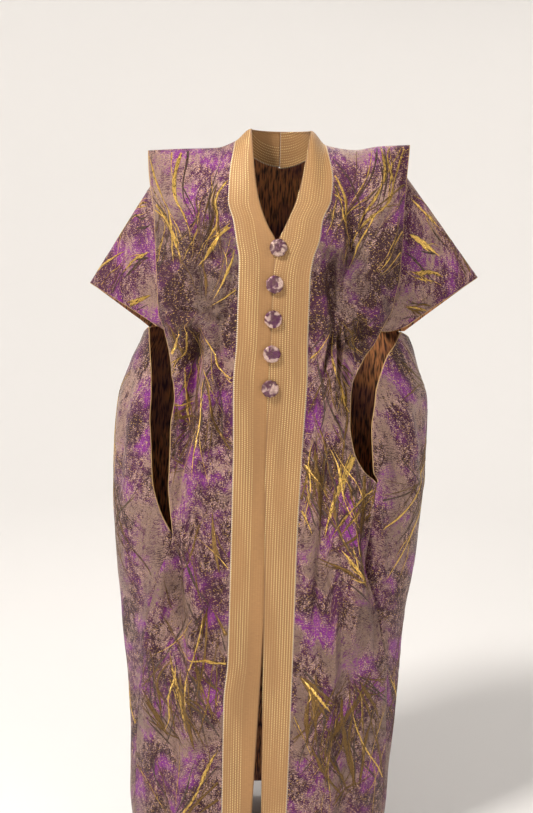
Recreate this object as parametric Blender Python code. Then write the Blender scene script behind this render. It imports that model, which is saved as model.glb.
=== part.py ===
"""Grand boubou robe: the cut pieces of a stiff brocade robe as worn, hanging from the shoulders.

Metres, +Z up, the front faces -Y and +X is the viewer's right. The origin is on the shoulder line,
midway between the two square shoulder caps, where a wearer carries the robe.

Every panel lies on one shape, the hang: a stack of rounded loops round the wearer, one for each
height, worked out from the widths and depths in HANG. A place on it is a height, a side and a turn
from 0 at the middle of the front to 180 degrees at the middle of the back. Heights run down from the
shoulder seam, and distances across are measured from the robe's own leaning centre line.
"""

import math
from collections import namedtuple

import bmesh
import bpy
import numpy as np
from mathutils import Matrix, Vector

# Cloth and sewing
LEFT, RIGHT = -1, 1
BROCADE = 0.0020            # wall of the stiff brocade
BAND = 0.0026               # wall of the two-layer front band
SEAM = 0.0003               # space between two sewn edges
LEAN = 0.018                # the centre line drifts this far across for each metre of height

# Heights below the shoulder seam
CAP_FOOT = -0.330
UNDERARM = -0.360
HEM = -1.530
NECK_FALL = 0.115           # how far down the raised neck and shoulder line is felt

# The hang of the cloth: half widths to each side, depth to the front and back, and squareness
Hang = namedtuple("Hang", "z left right front back square")
HANG = [
    Hang(0.000, 0.287, 0.282, 0.0002, 0.0002, 2.00),
    Hang(-0.006, 0.287, 0.281, 0.014, 0.014, 2.00),
    Hang(-0.020, 0.287, 0.280, 0.034, 0.036, 2.00),
    Hang(-0.050, 0.286, 0.279, 0.062, 0.072, 2.02),
    Hang(-0.100, 0.285, 0.278, 0.098, 0.106, 2.06),
    Hang(-0.160, 0.283, 0.277, 0.122, 0.127, 2.10),
    Hang(-0.240, 0.280, 0.278, 0.138, 0.135, 2.20),
    Hang(-0.320, 0.272, 0.276, 0.144, 0.133, 2.30),
    Hang(-0.360, 0.269, 0.277, 0.145, 0.131, 2.35),
    Hang(-0.400, 0.281, 0.292, 0.145, 0.130, 2.40),
    Hang(-0.440, 0.299, 0.305, 0.146, 0.132, 2.40),
    Hang(-0.530, 0.322, 0.325, 0.147, 0.138, 2.40),
    Hang(-0.620, 0.330, 0.331, 0.149, 0.143, 2.40),
    Hang(-0.700, 0.3315, 0.335, 0.152, 0.147, 2.40),
    Hang(-0.800, 0.3288, 0.330, 0.155, 0.150, 2.40),
    Hang(-0.890, 0.324, 0.325, 0.157, 0.153, 2.40),
    Hang(-0.980, 0.310, 0.3135, 0.159, 0.156, 2.40),
    Hang(-1.080, 0.298, 0.3025, 0.161, 0.159, 2.40),
    Hang(-1.180, 0.2885, 0.3015, 0.162, 0.161, 2.40),
    Hang(-1.280, 0.284, 0.2975, 0.163, 0.164, 2.40),
    Hang(-1.380, 0.284, 0.2935, 0.165, 0.167, 2.40),
    Hang(-1.530, 0.280, 0.2940, 0.168, 0.171, 2.40),
]

# Rise of the shoulder line above the seam height, by distance across
Rise = namedtuple("Rise", "x z")
SHOULDER_RISE = [
    Rise(-0.275, -0.009), Rise(-0.200, -0.004), Rise(-0.130, -0.001), Rise(-0.092, 0.013),
    Rise(-0.060, 0.038), Rise(0.060, 0.036), Rise(0.092, 0.008), Rise(0.150, 0.000),
    Rise(0.200, 0.008), Rise(0.270, 0.012),
]

# Outer edge of each front panel: free as the square shoulder cap and the arm slit, then the side seam
Edge = namedtuple("Edge", "z x")
FREE_EDGE = {
    LEFT: [
        Edge(0.000, 0.2680), Edge(-0.060, 0.2625), Edge(-0.105, 0.2540), Edge(-0.183, 0.2450),
        Edge(-0.262, 0.2385), Edge(-0.330, 0.2345), Edge(-0.355, 0.2240), Edge(-0.384, 0.2148),
        Edge(-0.443, 0.1998), Edge(-0.486, 0.1990), Edge(-0.555, 0.2050), Edge(-0.667, 0.2063),
        Edge(-0.721, 0.2023), Edge(-0.780, 0.1950), Edge(-0.855, 0.2101), Edge(-0.940, 0.2314),
        Edge(-1.040, 0.2468), Edge(-1.146, 0.2600), Edge(-1.285, 0.2690), Edge(-1.530, 0.2700),
    ],
    RIGHT: [
        Edge(0.000, 0.2615), Edge(-0.057, 0.2562), Edge(-0.096, 0.2535), Edge(-0.155, 0.2509),
        Edge(-0.253, 0.2488), Edge(-0.282, 0.2432), Edge(-0.314, 0.2370), Edge(-0.337, 0.2237),
        Edge(-0.380, 0.2013), Edge(-0.403, 0.1837), Edge(-0.437, 0.1712), Edge(-0.481, 0.1614),
        Edge(-0.532, 0.1602), Edge(-0.595, 0.1716), Edge(-0.641, 0.1966), Edge(-0.668, 0.2230),
        Edge(-0.702, 0.2190), Edge(-0.836, 0.2204), Edge(-0.983, 0.2541), Edge(-1.130, 0.2750),
        Edge(-1.298, 0.2830), Edge(-1.530, 0.2840),
    ],
}

# Width of the arm slit between the front panel's edge and the back panel's edge
Slit = namedtuple("Slit", "z width")
ARM_SLIT = {
    LEFT: [Slit(-0.360, 0.034), Slit(-0.440, 0.046), Slit(-0.510, 0.044), Slit(-0.590, 0.037),
           Slit(-0.680, 0.030), Slit(-0.740, 0.018), Slit(-0.780, 0.0)],
    RIGHT: [Slit(-0.360, 0.047), Slit(-0.440, 0.046), Slit(-0.490, 0.047), Slit(-0.540, 0.044),
            Slit(-0.600, 0.036), Slit(-0.645, 0.015), Slit(-0.668, 0.0)],
}

# Front band: where its outer edge is sewn to the panel, and the two free inner edges
BAND_OUTER = {
    LEFT: [Edge(0.000, 0.0925), Edge(-0.060, 0.1001), Edge(-0.100, 0.1002), Edge(-0.138, 0.0886),
           Edge(-0.176, 0.0812), Edge(-0.214, 0.0745), Edge(-0.270, 0.0738), Edge(-0.370, 0.0740),
           Edge(-0.450, 0.0778), Edge(-0.614, 0.0738), Edge(-0.870, 0.0722), Edge(-1.046, 0.0718),
           Edge(-1.140, 0.0780), Edge(-1.323, 0.0760), Edge(-1.530, 0.0730)],
    RIGHT: [Edge(0.000, 0.0925), Edge(-0.060, 0.1060), Edge(-0.097, 0.1030), Edge(-0.135, 0.0880),
            Edge(-0.173, 0.0830), Edge(-0.211, 0.0715), Edge(-0.250, 0.0670), Edge(-0.367, 0.0675),
            Edge(-0.447, 0.0700), Edge(-0.611, 0.0658), Edge(-0.780, 0.0635), Edge(-1.043, 0.0653),
            Edge(-1.320, 0.0660), Edge(-1.530, 0.0650)],
}
NECK_HALF_WIDTH = 0.0600
V_POINT = -0.182
BAND_INNER = {
    LEFT: [Edge(0.000, -0.0600), Edge(-0.070, -0.0475), Edge(-0.110, -0.0350), Edge(-0.145, -0.0200),
           Edge(V_POINT, 0.0005), Edge(-0.230, 0.0105), Edge(-0.400, 0.0095), Edge(-0.600, 0.0070),
           Edge(-0.800, 0.0060), Edge(-1.030, 0.0005), Edge(-1.396, -0.0090), Edge(-1.530, -0.0125)],
    RIGHT: [Edge(0.000, 0.0600), Edge(-0.070, 0.0440), Edge(-0.110, 0.0300), Edge(-0.145, 0.0150),
            Edge(V_POINT, -0.0005), Edge(-0.230, -0.0060), Edge(-0.400, -0.0072), Edge(-0.570, -0.0085),
            Edge(-0.800, -0.0030), Edge(-1.030, 0.0020), Edge(-1.396, 0.0105), Edge(-1.530, 0.0135)],
}
UNDERARM_DIP = 0.021        # the back panel's side starts this much lower right under the sleeve
DIP_BLEND = 0.140           # and is level again this far down
UNDERLAP_STEP = 0.0032      # the left band lies this far behind the right one where they cross
UNDERLAP_RAMP = (0.25, 0.70) # the step grows between these shares of the band's width
UNDERLAP_TOP = -0.075       # and from this height down, over the next stretch
UNDERLAP_FALL = 0.070
NECK_TOP = -0.030           # above this the band's wall follows its own fold over the shoulder
NECKLINE_DROP = 0.045       # the back neckline dips this far at its middle
NAPE_DEPTH = 0.060          # how far back the band's upper edge passes behind the neck
NAPE_RISE = 0.034           # and how high
NECK_BLEND = 0.200          # the back's rows are level again this far below the seam

# Sleeves: the wide cloth falls from under each cap as a folded square
Sleeve = namedtuple("Sleeve", "head_x head_z tip_x tip_z front_x front_z back_x back_z")
SLEEVES = {
    LEFT: Sleeve(head_x=0.2190, head_z=-0.012, tip_x=0.3857, tip_z=-0.2790, front_x=0.2400,
                 front_z=-0.3560, back_x=0.2640, back_z=-0.3750),
    RIGHT: Sleeve(head_x=0.2060, head_z=-0.012, tip_x=0.4190, tip_z=-0.2530, front_x=0.2700,
                  front_z=-0.3480, back_x=0.2790, back_z=-0.3740),
}
SLEEVE_ALONG = [0.0, 0.10, 0.24, 0.40, 0.58, 0.78, 1.0]
SLEEVE_FRONT_DEPTH = 0.058  # the hem's lower corners stand this far before and behind the fold
SLEEVE_BACK_DEPTH = 0.034
SLEEVE_FOLD = 0.0045        # half the thickness of the soft top fold
SLEEVE_SEAT = 0.0007        # space between a sleeve's inner end and the panel it hangs from
SLEEVE_CLEAR = 0.0090       # and between the outer faces further out
SLEEVE_HIDDEN = 0.0120      # it keeps clear of the cap until this far beyond the cap's edge
SLEEVE_CLOSING = 1.5        # how quickly the two halves close towards the hem
BACK_SHORTER = 0.015        # the back half's inner end stops this far above the underarm

# Covered buttons down the front
BUTTON_ACROSS = 0.0350
BUTTON_DOME = 0.0075
BUTTON_BACK = 0.0025
BUTTON_FROM_EDGE = 0.0040
BUTTON_HEIGHTS = [-0.189, -0.259, -0.327, -0.396, -0.466]

# Main folds, ridges above zero and troughs below, through points across and down
Fold = namedtuple("Fold", "height width path")
FRONT_FOLDS = [
    Fold(-0.013, 0.016, [(-0.136, -0.350), (-0.156, -0.405), (-0.174, -0.540), (-0.188, -0.640)]),
    Fold(0.010, 0.017, [(-0.118, -0.365), (-0.130, -0.450), (-0.140, -0.600), (-0.150, -0.760)]),
    Fold(0.009, 0.016, [(-0.165, -0.340), (-0.187, -0.410), (-0.190, -0.470)]),
    Fold(-0.010, 0.030, [(-0.120, -0.190), (-0.150, -0.270), (-0.150, -0.330)]),
    Fold(0.008, 0.022, [(-0.200, -0.040), (-0.200, -0.180), (-0.195, -0.300)]),
    Fold(0.008, 0.018, [(-0.105, -0.120), (-0.100, -0.220), (-0.115, -0.330)]),
    Fold(0.011, 0.020, [(-0.205, -0.800), (-0.225, -0.900), (-0.240, -1.010), (-0.245, -1.100)]),
    Fold(-0.009, 0.018, [(-0.190, -0.790), (-0.190, -0.900), (-0.205, -1.020)]),
    Fold(-0.016, 0.024, [(0.121, -0.180), (0.126, -0.270), (0.130, -0.330)]),
    Fold(0.010, 0.020, [(0.092, -0.240), (0.100, -0.330), (0.120, -0.450), (0.130, -0.560)]),
    Fold(-0.008, 0.014, [(0.122, -0.330), (0.138, -0.430), (0.150, -0.540)]),
    Fold(0.010, 0.016, [(0.156, -0.300), (0.184, -0.338), (0.212, -0.296)]),
    Fold(-0.010, 0.018, [(0.155, -0.030), (0.152, -0.150), (0.150, -0.290)]),
    Fold(0.010, 0.024, [(0.212, -0.040), (0.215, -0.160), (0.200, -0.270)]),
    Fold(0.012, 0.019, [(0.160, -0.670), (0.190, -0.830), (0.222, -0.980), (0.238, -1.060)]),
    Fold(-0.012, 0.015, [(0.186, -0.720), (0.212, -0.840), (0.244, -0.980), (0.258, -1.080)]),
    Fold(0.010, 0.018, [(0.255, -0.490), (0.288, -0.570), (0.312, -0.640)]),
    Fold(-0.010, 0.018, [(0.235, -0.520), (0.262, -0.600), (0.280, -0.690)]),
    Fold(0.006, 0.030, [(-0.160, -1.080), (-0.150, -1.300), (-0.150, -1.560)]),
    Fold(-0.007, 0.026, [(-0.215, -1.120), (-0.210, -1.300), (-0.210, -1.560)]),
    Fold(0.007, 0.028, [(0.130, -1.020), (0.140, -1.250), (0.150, -1.560)]),
    Fold(-0.007, 0.026, [(0.205, -1.160), (0.205, -1.350), (0.205, -1.560)]),
]
BACK_FOLDS = [
    Fold(-0.012, 0.024, [(-0.130, -0.170), (-0.140, -0.300), (-0.155, -0.450)]),
    Fold(0.011, 0.024, [(-0.190, -0.060), (-0.195, -0.200), (-0.195, -0.330)]),
    Fold(0.011, 0.024, [(-0.090, -0.220), (-0.090, -0.420), (-0.105, -0.640)]),
    Fold(-0.011, 0.022, [(-0.185, -0.420), (-0.195, -0.600), (-0.200, -0.780)]),
    Fold(-0.010, 0.026, [(0.010, -0.200), (0.000, -0.480), (-0.010, -0.760)]),
    Fold(-0.013, 0.024, [(0.125, -0.160), (0.135, -0.300), (0.150, -0.440)]),
    Fold(0.011, 0.024, [(0.195, -0.060), (0.200, -0.190), (0.195, -0.320)]),
    Fold(0.011, 0.024, [(0.085, -0.240), (0.095, -0.430), (0.105, -0.660)]),
    Fold(-0.011, 0.022, [(0.190, -0.400), (0.205, -0.580), (0.210, -0.760)]),
    Fold(0.009, 0.030, [(-0.150, -0.820), (-0.150, -1.100), (-0.155, -1.560)]),
    Fold(-0.009, 0.028, [(-0.070, -0.860), (-0.070, -1.150), (-0.070, -1.560)]),
    Fold(0.009, 0.030, [(0.030, -0.840), (0.030, -1.120), (0.035, -1.560)]),
    Fold(-0.009, 0.028, [(0.110, -0.880), (0.115, -1.150), (0.120, -1.560)]),
    Fold(0.009, 0.028, [(0.190, -0.840), (0.190, -1.100), (0.195, -1.560)]),
]

# At the sides the first number is the distance round from the side line, towards the back
SIDE_FOLDS = {
    LEFT: [
        Fold(-0.010, 0.022, [(-0.050, -0.430), (-0.045, -0.600), (-0.040, -0.760)]),
        Fold(0.009, 0.022, [(0.020, -0.420), (0.025, -0.640), (0.020, -0.850)]),
        Fold(-0.008, 0.022, [(0.075, -0.450), (0.080, -0.700), (0.085, -0.980)]),
        Fold(0.008, 0.022, [(-0.030, -0.900), (-0.030, -1.200), (-0.035, -1.560)]),
        Fold(-0.008, 0.020, [(0.035, -0.980), (0.040, -1.250), (0.040, -1.560)]),
    ],
    RIGHT: [
        Fold(-0.010, 0.020, [(-0.060, -0.500), (-0.035, -0.600), (-0.015, -0.700)]),
        Fold(0.009, 0.020, [(-0.020, -0.430), (0.010, -0.560), (0.025, -0.780)]),
        Fold(-0.008, 0.022, [(0.070, -0.440), (0.075, -0.680), (0.080, -0.940)]),
        Fold(0.007, 0.020, [(-0.020, -0.960), (-0.025, -1.220), (-0.020, -1.560)]),
        Fold(-0.007, 0.022, [(0.050, -1.000), (0.050, -1.260), (0.055, -1.560)]),
    ],
}
SIDE_GIRTH = 0.155          # distance round the side for each radian of turn
FOLD_END = 0.22             # share of a fold's length over which it rises and dies away
SEAM_CALM = 0.060           # folds start to show this far below the shoulder seam and the underarm
BAND_CALM = 0.030           # and this far out from the band's seam
SIDE_CALM = 0.10            # front and back folds end in this last share of the half width
SIDE_REACH = (0.72, 0.86)   # and side folds start between these shares of it

# Heights of the rows of each panel, shared so that sewn edges match
ROWS_ABOVE = [0.0, -0.008, -0.025, -0.055, -0.090, -0.125, -0.155, V_POINT, -0.215, -0.250, -0.285,
              -0.320, -0.341, UNDERARM]
ROWS_BELOW = [-0.385, -0.410, -0.440, -0.475, -0.515, -0.555, -0.600, -0.640, -0.668, -0.702, -0.740,
              -0.780, -0.825, -0.870, -0.920, -0.980, -1.030, -1.100, -1.180, -1.270, -1.360, -1.445, HEM]
ROWS = ROWS_ABOVE + ROWS_BELOW
FRONT_COLUMNS = 12
BACK_COLUMNS = 20
WING_COLUMNS = 7
BAND_COLUMNS = 4
NECK_COLUMNS = 4            # back columns from the middle of the nape to each side of the neck
SLEEVE_COLUMN = 8           # the panel column that a sleeve hangs from, under the cap


# Steps and limits used in working out the direction of the cloth's wall
TURN_STEP = 0.01
HEIGHT_STEP = 0.002
SLOPE_UP = 0.2
LEAST_MITRE = 0.55


def clamp01(value):
    return min(max(value, 0.0), 1.0)


def ease(value):
    """Smooth step from 0 to 1."""
    t = clamp01(value)
    return t * t * (3.0 - 2.0 * t)


def read_table(rows, key, column, at):
    """Smooth value of one column of a table whose key runs up or down, without overshoot."""
    keys = np.array([getattr(row, key) for row in rows])
    values = np.array([getattr(row, column) for row in rows])
    if keys[0] > keys[-1]:
        keys, values = keys[::-1], values[::-1]
    at = min(max(at, keys[0]), keys[-1])
    step = np.diff(keys)
    slope = np.diff(values) / step
    i = int(np.clip(np.searchsorted(keys, at, side="right") - 1, 0, len(step) - 1))

    def tangent(k):
        if k == 0 or k == len(keys) - 1:
            return slope[0] if k == 0 else slope[-1]
        before, after = slope[k - 1], slope[k]
        if before * after <= 0.0:
            return 0.0
        return 2.0 * before * after / (before + after)

    t = (at - keys[i]) / step[i]
    low, high = values[i], values[i + 1]
    rise_low, rise_high = tangent(i) * step[i], tangent(i + 1) * step[i]
    return float(low * (1 + 2 * t) * (1 - t) ** 2 + high * t * t * (3 - 2 * t)
                 + rise_low * t * (1 - t) ** 2 - rise_high * t * t * (1 - t))


def half_width(side, z):
    return read_table(HANG, "z", "left" if side == LEFT else "right", z)


def front_edge(side, z):
    return read_table(FREE_EDGE[side], "z", "x", z)


def wing_edge(side, z):
    """Front edge of the back panel's side: across the arm slit, or sewn to the front panel."""
    slit = read_table(ARM_SLIT[side], "z", "width", z) if z > ARM_SLIT[side][-1].z else 0.0
    return front_edge(side, z) + slit + SEAM


def turn_at(side, x, z):
    """Turn on the front half of the loop at a distance across, from 0 to 90 degrees."""
    square = read_table(HANG, "z", "square", z)
    share = clamp01(abs(x) / half_width(side, z))
    return math.asin(share ** (square / 2.0))


def fold_height(folds, x, z):
    """Sum of the folds at a place, each fading out at both its ends."""
    total = 0.0
    for fold in folds:
        path = fold.path
        lengths = [math.dist(a, b) for a, b in zip(path, path[1:])]
        whole = sum(lengths)
        best, where, run = 1e9, 0.0, 0.0
        for (x0, z0), (x1, z1), length in zip(path, path[1:], lengths):
            t = clamp01(((x - x0) * (x1 - x0) + (z - z0) * (z1 - z0)) / length ** 2)
            distance = math.hypot(x - x0 - t * (x1 - x0), z - z0 - t * (z1 - z0))
            if distance < best:
                best, where = distance, (run + t * length) / whole
            run += length
        ends = ease(where / FOLD_END) * ease((1.0 - where) / FOLD_END)
        total += fold.height * ends * math.exp(-(best / fold.width) ** 2)
    return total


def hang_point(side, turn, z, neck_open=True):
    """A point of the robe's outer face."""
    square = read_table(HANG, "z", "square", z)
    width = half_width(side, z)
    in_front = math.cos(turn) > 0.0
    depth = read_table(HANG, "z", "front" if in_front else "back", z)
    across = abs(math.sin(turn)) ** (2.0 / square)
    forward = abs(math.cos(turn)) ** (2.0 / square)
    x = side * width * across
    y = -depth * forward if in_front else depth * forward

    folds = FRONT_FOLDS if in_front else BACK_FOLDS
    calm = ease((1.0 - across) / SIDE_CALM) * ease(-z / SEAM_CALM)
    if in_front:
        band = read_table(BAND_OUTER[side], "z", "x", z)
        calm *= ease((abs(x) - band) / BAND_CALM)
    relief = fold_height(folds, x, z) * calm
    side_start, side_full = SIDE_REACH
    calm = ease((across - side_start) / (side_full - side_start)) * ease((UNDERARM - z) / SEAM_CALM)
    relief += fold_height(SIDE_FOLDS[side], SIDE_GIRTH * (turn - math.pi / 2), z) * calm
    x += side * math.sin(turn) * relief
    y -= math.cos(turn) * relief

    line_x = x if neck_open else math.copysign(max(abs(x), BAND_OUTER[side][0].x), side)
    rise = read_table(SHOULDER_RISE, "x", "z", line_x) * ease(1.0 + z / NECK_FALL)
    height = z + rise
    return Vector((x + LEAN * height, y, height))


def hang_inward(side, turn, z, neck_open=True):
    """Direction from the outer face to the inner one. On the shoulder seam it is level with the seam
    and longer, so that the walls of the front and back meet there without crossing."""
    first, last = max(turn - TURN_STEP, 0.0), min(turn + TURN_STEP, math.pi)
    around = hang_point(side, last, z, neck_open) - hang_point(side, first, z, neck_open)
    upper = hang_point(side, turn, min(z + HEIGHT_STEP, 0.0), neck_open)
    down = hang_point(side, turn, z - HEIGHT_STEP, neck_open) - upper
    normal = around.cross(down).normalized()
    if normal.dot(Vector((side * math.sin(turn), -math.cos(turn), SLOPE_UP))) < 0.0:
        normal.negate()
    if z == 0.0:
        level = Vector((normal.x, 0.0, normal.z)).normalized()
        return -level / max(level.dot(normal), LEAST_MITRE)
    return -normal


def cloth_wall(name, grid, thickness, material, seam_inward, keep=None):
    """A wall of cloth from a grid of outer points: a grid mesh shaped to them, then thickened."""
    rows, columns = len(grid), len(grid[0])
    bm = bmesh.new()
    bmesh.ops.create_grid(bm, x_segments=columns - 1, y_segments=rows - 1, size=1.0)
    row_of = bm.verts.layers.int.new("row")
    column_of = bm.verts.layers.int.new("column")
    for vert in bm.verts:
        vert[column_of] = round((vert.co.x + 1.0) / 2.0 * (columns - 1))
        vert[row_of] = round((1.0 - vert.co.y) / 2.0 * (rows - 1))
    for vert in bm.verts:
        vert.co = grid[vert[row_of]][vert[column_of]]
    if keep:
        spare = []
        for face in bm.faces:
            row = min(vert[row_of] for vert in face.verts)
            column = min(vert[column_of] for vert in face.verts)
            if not keep(row, column):
                spare.append(face)
        bmesh.ops.delete(bm, geom=spare, context="FACES")
    bm.normal_update()

    inward = {}
    for vert in bm.verts:
        place = (vert[row_of], vert[column_of])
        inward[place] = seam_inward(*place) or -vert.normal
    grown = bmesh.ops.extrude_face_region(bm, geom=bm.faces[:], use_keep_orig=True)
    for vert in grown["geom"]:
        if isinstance(vert, bmesh.types.BMVert):
            place = (vert[row_of], vert[column_of])
            vert.co = vert.co + inward[place] * thickness
    bmesh.ops.recalc_face_normals(bm, faces=bm.faces[:])
    return finish_mesh(name, bm, material)


def finish_mesh(name, bm, material):
    mesh = bpy.data.meshes.new(name)
    bm.to_mesh(mesh)
    bm.free()
    mesh.materials.append(material)
    mesh.shade_smooth()
    mesh.set_sharp_from_angle(angle=math.radians(50))
    obj = bpy.data.objects.new(name, mesh)
    bpy.data.collections["boubou_robe"].objects.link(obj)
    return obj


def make_front(side, material):
    """One front panel, from the band's seam out to the cap, the arm slit and the side seam."""
    grid, turns = [], []
    for z in ROWS:
        inner = turn_at(side, read_table(BAND_OUTER[side], "z", "x", z) + SEAM, z)
        outer = turn_at(side, front_edge(side, z), z)
        row = [inner + (outer - inner) * k / FRONT_COLUMNS for k in range(FRONT_COLUMNS + 1)]
        if side == RIGHT:
            turns.append(row)
        else:
            turns.append(row[::-1])
        grid.append([hang_point(side, turn, z) for turn in turns[-1]])

    def inward(row, column):
        return hang_inward(side, turns[row][column], ROWS[row])

    name = "front_left" if side == LEFT else "front_right"
    return cloth_wall(name, grid, BROCADE, material, inward)


def back_edge_turn(side, z):
    """Turn of the back panel's own cap edge, which runs on down as an inner line of the panel."""
    level = max(z, UNDERARM)
    return math.pi - turn_at(side, front_edge(side, max(level, CAP_FOOT)), level)


def neckline_dip(x, z):
    """The back rows sag to the dipped neckline at the middle and level out lower down."""
    share = 1.0 - (x / (BAND_OUTER[LEFT][0].x + SEAM)) ** 2
    return NECKLINE_DROP * max(0.0, share) * ease(1.0 + z / NECK_BLEND)


def back_spot(column, z):
    """Side, turn and height of a place on the back panel, from the left side round to the right."""
    k = column - WING_COLUMNS
    if 0 <= k <= BACK_COLUMNS:
        share = 2.0 * k / BACK_COLUMNS - 1.0
        side = LEFT if share < 0.0 else RIGHT
        reach = math.pi - back_edge_turn(side, z)
        neck_share = 2.0 * NECK_COLUMNS / BACK_COLUMNS
        neck = turn_at(side, BAND_OUTER[side][0].x + SEAM, 0.0)
        out = abs(share)
        if out <= neck_share:
            spread = neck * out / neck_share
        else:
            spread = neck + (reach - neck) * (out - neck_share) / (1.0 - neck_share)
        gather = ease(1.0 + z / NECK_BLEND)
        turn = math.pi - (spread * gather + reach * out * (1.0 - gather))
        across = half_width(side, z) * math.sin(turn) ** (2.0 / read_table(HANG, "z", "square", z))
        return side, turn, z - neckline_dip(across, z)
    side = LEFT if k < 0 else RIGHT
    share = -k / WING_COLUMNS if k < 0 else (k - BACK_COLUMNS) / WING_COLUMNS
    edge = back_edge_turn(side, z)
    front = turn_at(side, wing_edge(side, z), z)
    dip = UNDERARM_DIP * math.sin(math.pi * share) * ease(1.0 - (UNDERARM - z) / DIP_BLEND)
    return side, edge + (front - edge) * share, z - dip


def make_back(material):
    """The back panel, with its own cap edges, and its sides brought round to the arm slits."""
    columns = BACK_COLUMNS + 2 * WING_COLUMNS + 1
    spots = [[back_spot(column, z) for column in range(columns)] for z in ROWS]
    grid = [[hang_point(*spot, False) for spot in row] for row in spots]

    def keep(row, column):
        return ROWS[row] <= UNDERARM or WING_COLUMNS <= column < WING_COLUMNS + BACK_COLUMNS

    return cloth_wall("back", grid, BROCADE, material,
                      lambda row, column: hang_inward(*spots[row][column], False), keep)


def underlap(share, z):
    """How far the left band steps back towards its inner edge, to pass behind the right one."""
    start, full = UNDERLAP_RAMP
    across = ease((share - start) / (full - start))
    return UNDERLAP_STEP * across * ease((UNDERLAP_TOP - z) / UNDERLAP_FALL)


def make_band(side, material):
    """A front band: up the centre front, along the neck and round to the middle of the nape."""
    grid, seams = [], {}
    for row, z in enumerate(reversed(ROWS)):
        outer = read_table(BAND_OUTER[side], "z", "x", z) * side
        inner = read_table(BAND_INNER[side], "z", "x", z)
        points = []
        for k in range(BAND_COLUMNS + 1):
            share = k / BAND_COLUMNS
            x = outer + (inner - outer) * share
            here = LEFT if x < 0.0 else RIGHT
            turn = turn_at(here, x, z)
            point = hang_point(here, turn, z)
            inward = hang_inward(here, turn, z)
            if side == LEFT:
                point = point + inward * underlap(share, z)
            points.append(point)
            if z < NECK_TOP or k == 0:
                seams[(row, k)] = inward
        grid.append(points)

    lift = read_table(SHOULDER_RISE, "x", "z", side * NECK_HALF_WIDTH)
    middle = WING_COLUMNS + BACK_COLUMNS // 2
    for step in range(1, NECK_COLUMNS + 1):
        spot = back_spot(middle + side * (NECK_COLUMNS - step), 0.0)
        outer = hang_point(side, *spot[1:], False)
        inward = hang_inward(side, *spot[1:], False)
        angle = math.pi / 2 * step / NECK_COLUMNS
        inner = Vector((side * NECK_HALF_WIDTH * math.cos(angle), NAPE_DEPTH * math.sin(angle),
                        lift + (NAPE_RISE - lift) * math.sin(angle)))
        inner.x += LEAN * inner.z * math.cos(angle)
        at_nape = step == NECK_COLUMNS
        if at_nape:
            outer.x = inner.x = side * SEAM / 2
            inward.x = 0.0
        away = (outer - inner).normalized()
        row = len(grid)
        grid.append([(outer - away * SEAM).lerp(inner, k / BAND_COLUMNS) for k in range(BAND_COLUMNS + 1)])
        seams[(row, 0)] = inward
        if at_nape:
            flat = away.cross(Vector((1.0, 0.0, 0.0)))
            flat *= math.copysign(1.0, flat.y) / flat.length
            seams.update({(row, k): -flat for k in range(1, BAND_COLUMNS + 1)})

    if side == RIGHT:
        grid = [points[::-1] for points in grid]
        seams = {(row, BAND_COLUMNS - k): value for (row, k), value in seams.items()}
    last = len(grid) - 1
    grid = grid[::-1]
    seams = {(last - row, k): value for (row, k), value in seams.items()}
    name = "band_left" if side == LEFT else "band_right"
    return cloth_wall(name, grid, BAND, material, lambda row, column: seams.get((row, column)))


def cap_line(side, z, front):
    """Where a sleeve hangs from a panel: a point just inside the wall, on one of its columns."""
    if front:
        inner = turn_at(side, read_table(BAND_OUTER[side], "z", "x", z) + SEAM, z)
        outer = turn_at(side, front_edge(side, z), z)
        spot = (side, inner + (outer - inner) * SLEEVE_COLUMN / FRONT_COLUMNS, z)
    else:
        spot = back_spot(WING_COLUMNS + BACK_COLUMNS // 2 + side * SLEEVE_COLUMN, z)
    return hang_point(*spot, front) + hang_inward(*spot, front) * (BROCADE + SLEEVE_SEAT)


def cloth_depth(side, x, z, front):
    """How far the front or back panel's outer face lies from the middle of the robe."""
    turn = turn_at(side, x, z)
    return abs(hang_point(side, turn if front else math.pi - turn, z, front).y)


def sleeve_half(side, front):
    """Points of one half of a sleeve, from its top fold down, along rows that match the panel's."""
    cut = SLEEVES[side]
    lowest = UNDERARM if front else UNDERARM + BACK_SHORTER
    rows = [z for z in ROWS_ABOVE if cut.head_z - SLEEVE_CLEAR > z > lowest]
    low_x, low_z = (cut.front_x, cut.front_z) if front else (cut.back_x, cut.back_z)
    hem_depth = SLEEVE_FRONT_DEPTH if front else SLEEVE_BACK_DEPTH
    face = -1.0 if front else 1.0
    lines = []
    for row in rows:
        seat = cap_line(side, row, front)
        seat_x = abs(seat.x - LEAN * seat.z)
        share = (row - cut.head_z) / (rows[-1] - cut.head_z)
        hem_x = cut.tip_x + (low_x - cut.tip_x) * share
        hem_z = cut.tip_z + (low_z - cut.tip_z) * share
        line = [seat]
        for reach in SLEEVE_ALONG[1:]:
            x = seat_x + (hem_x - seat_x) * reach
            z = seat.z + (hem_z - seat.z) * reach
            closing = (1.0 - reach) ** SLEEVE_CLOSING
            depth = abs(seat.y) * closing + (SLEEVE_FOLD + hem_depth * share) * (1.0 - closing)
            edge = front_edge(side, z if front else max(z, CAP_FOOT))
            if x < edge + SLEEVE_HIDDEN:
                depth = min(depth, cloth_depth(side, min(x, edge), z, front) - SLEEVE_CLEAR)
            line.append(Vector((side * x + LEAN * z, face * max(depth, SLEEVE_FOLD), z)))
        lines.append(line)
    return lines


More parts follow.
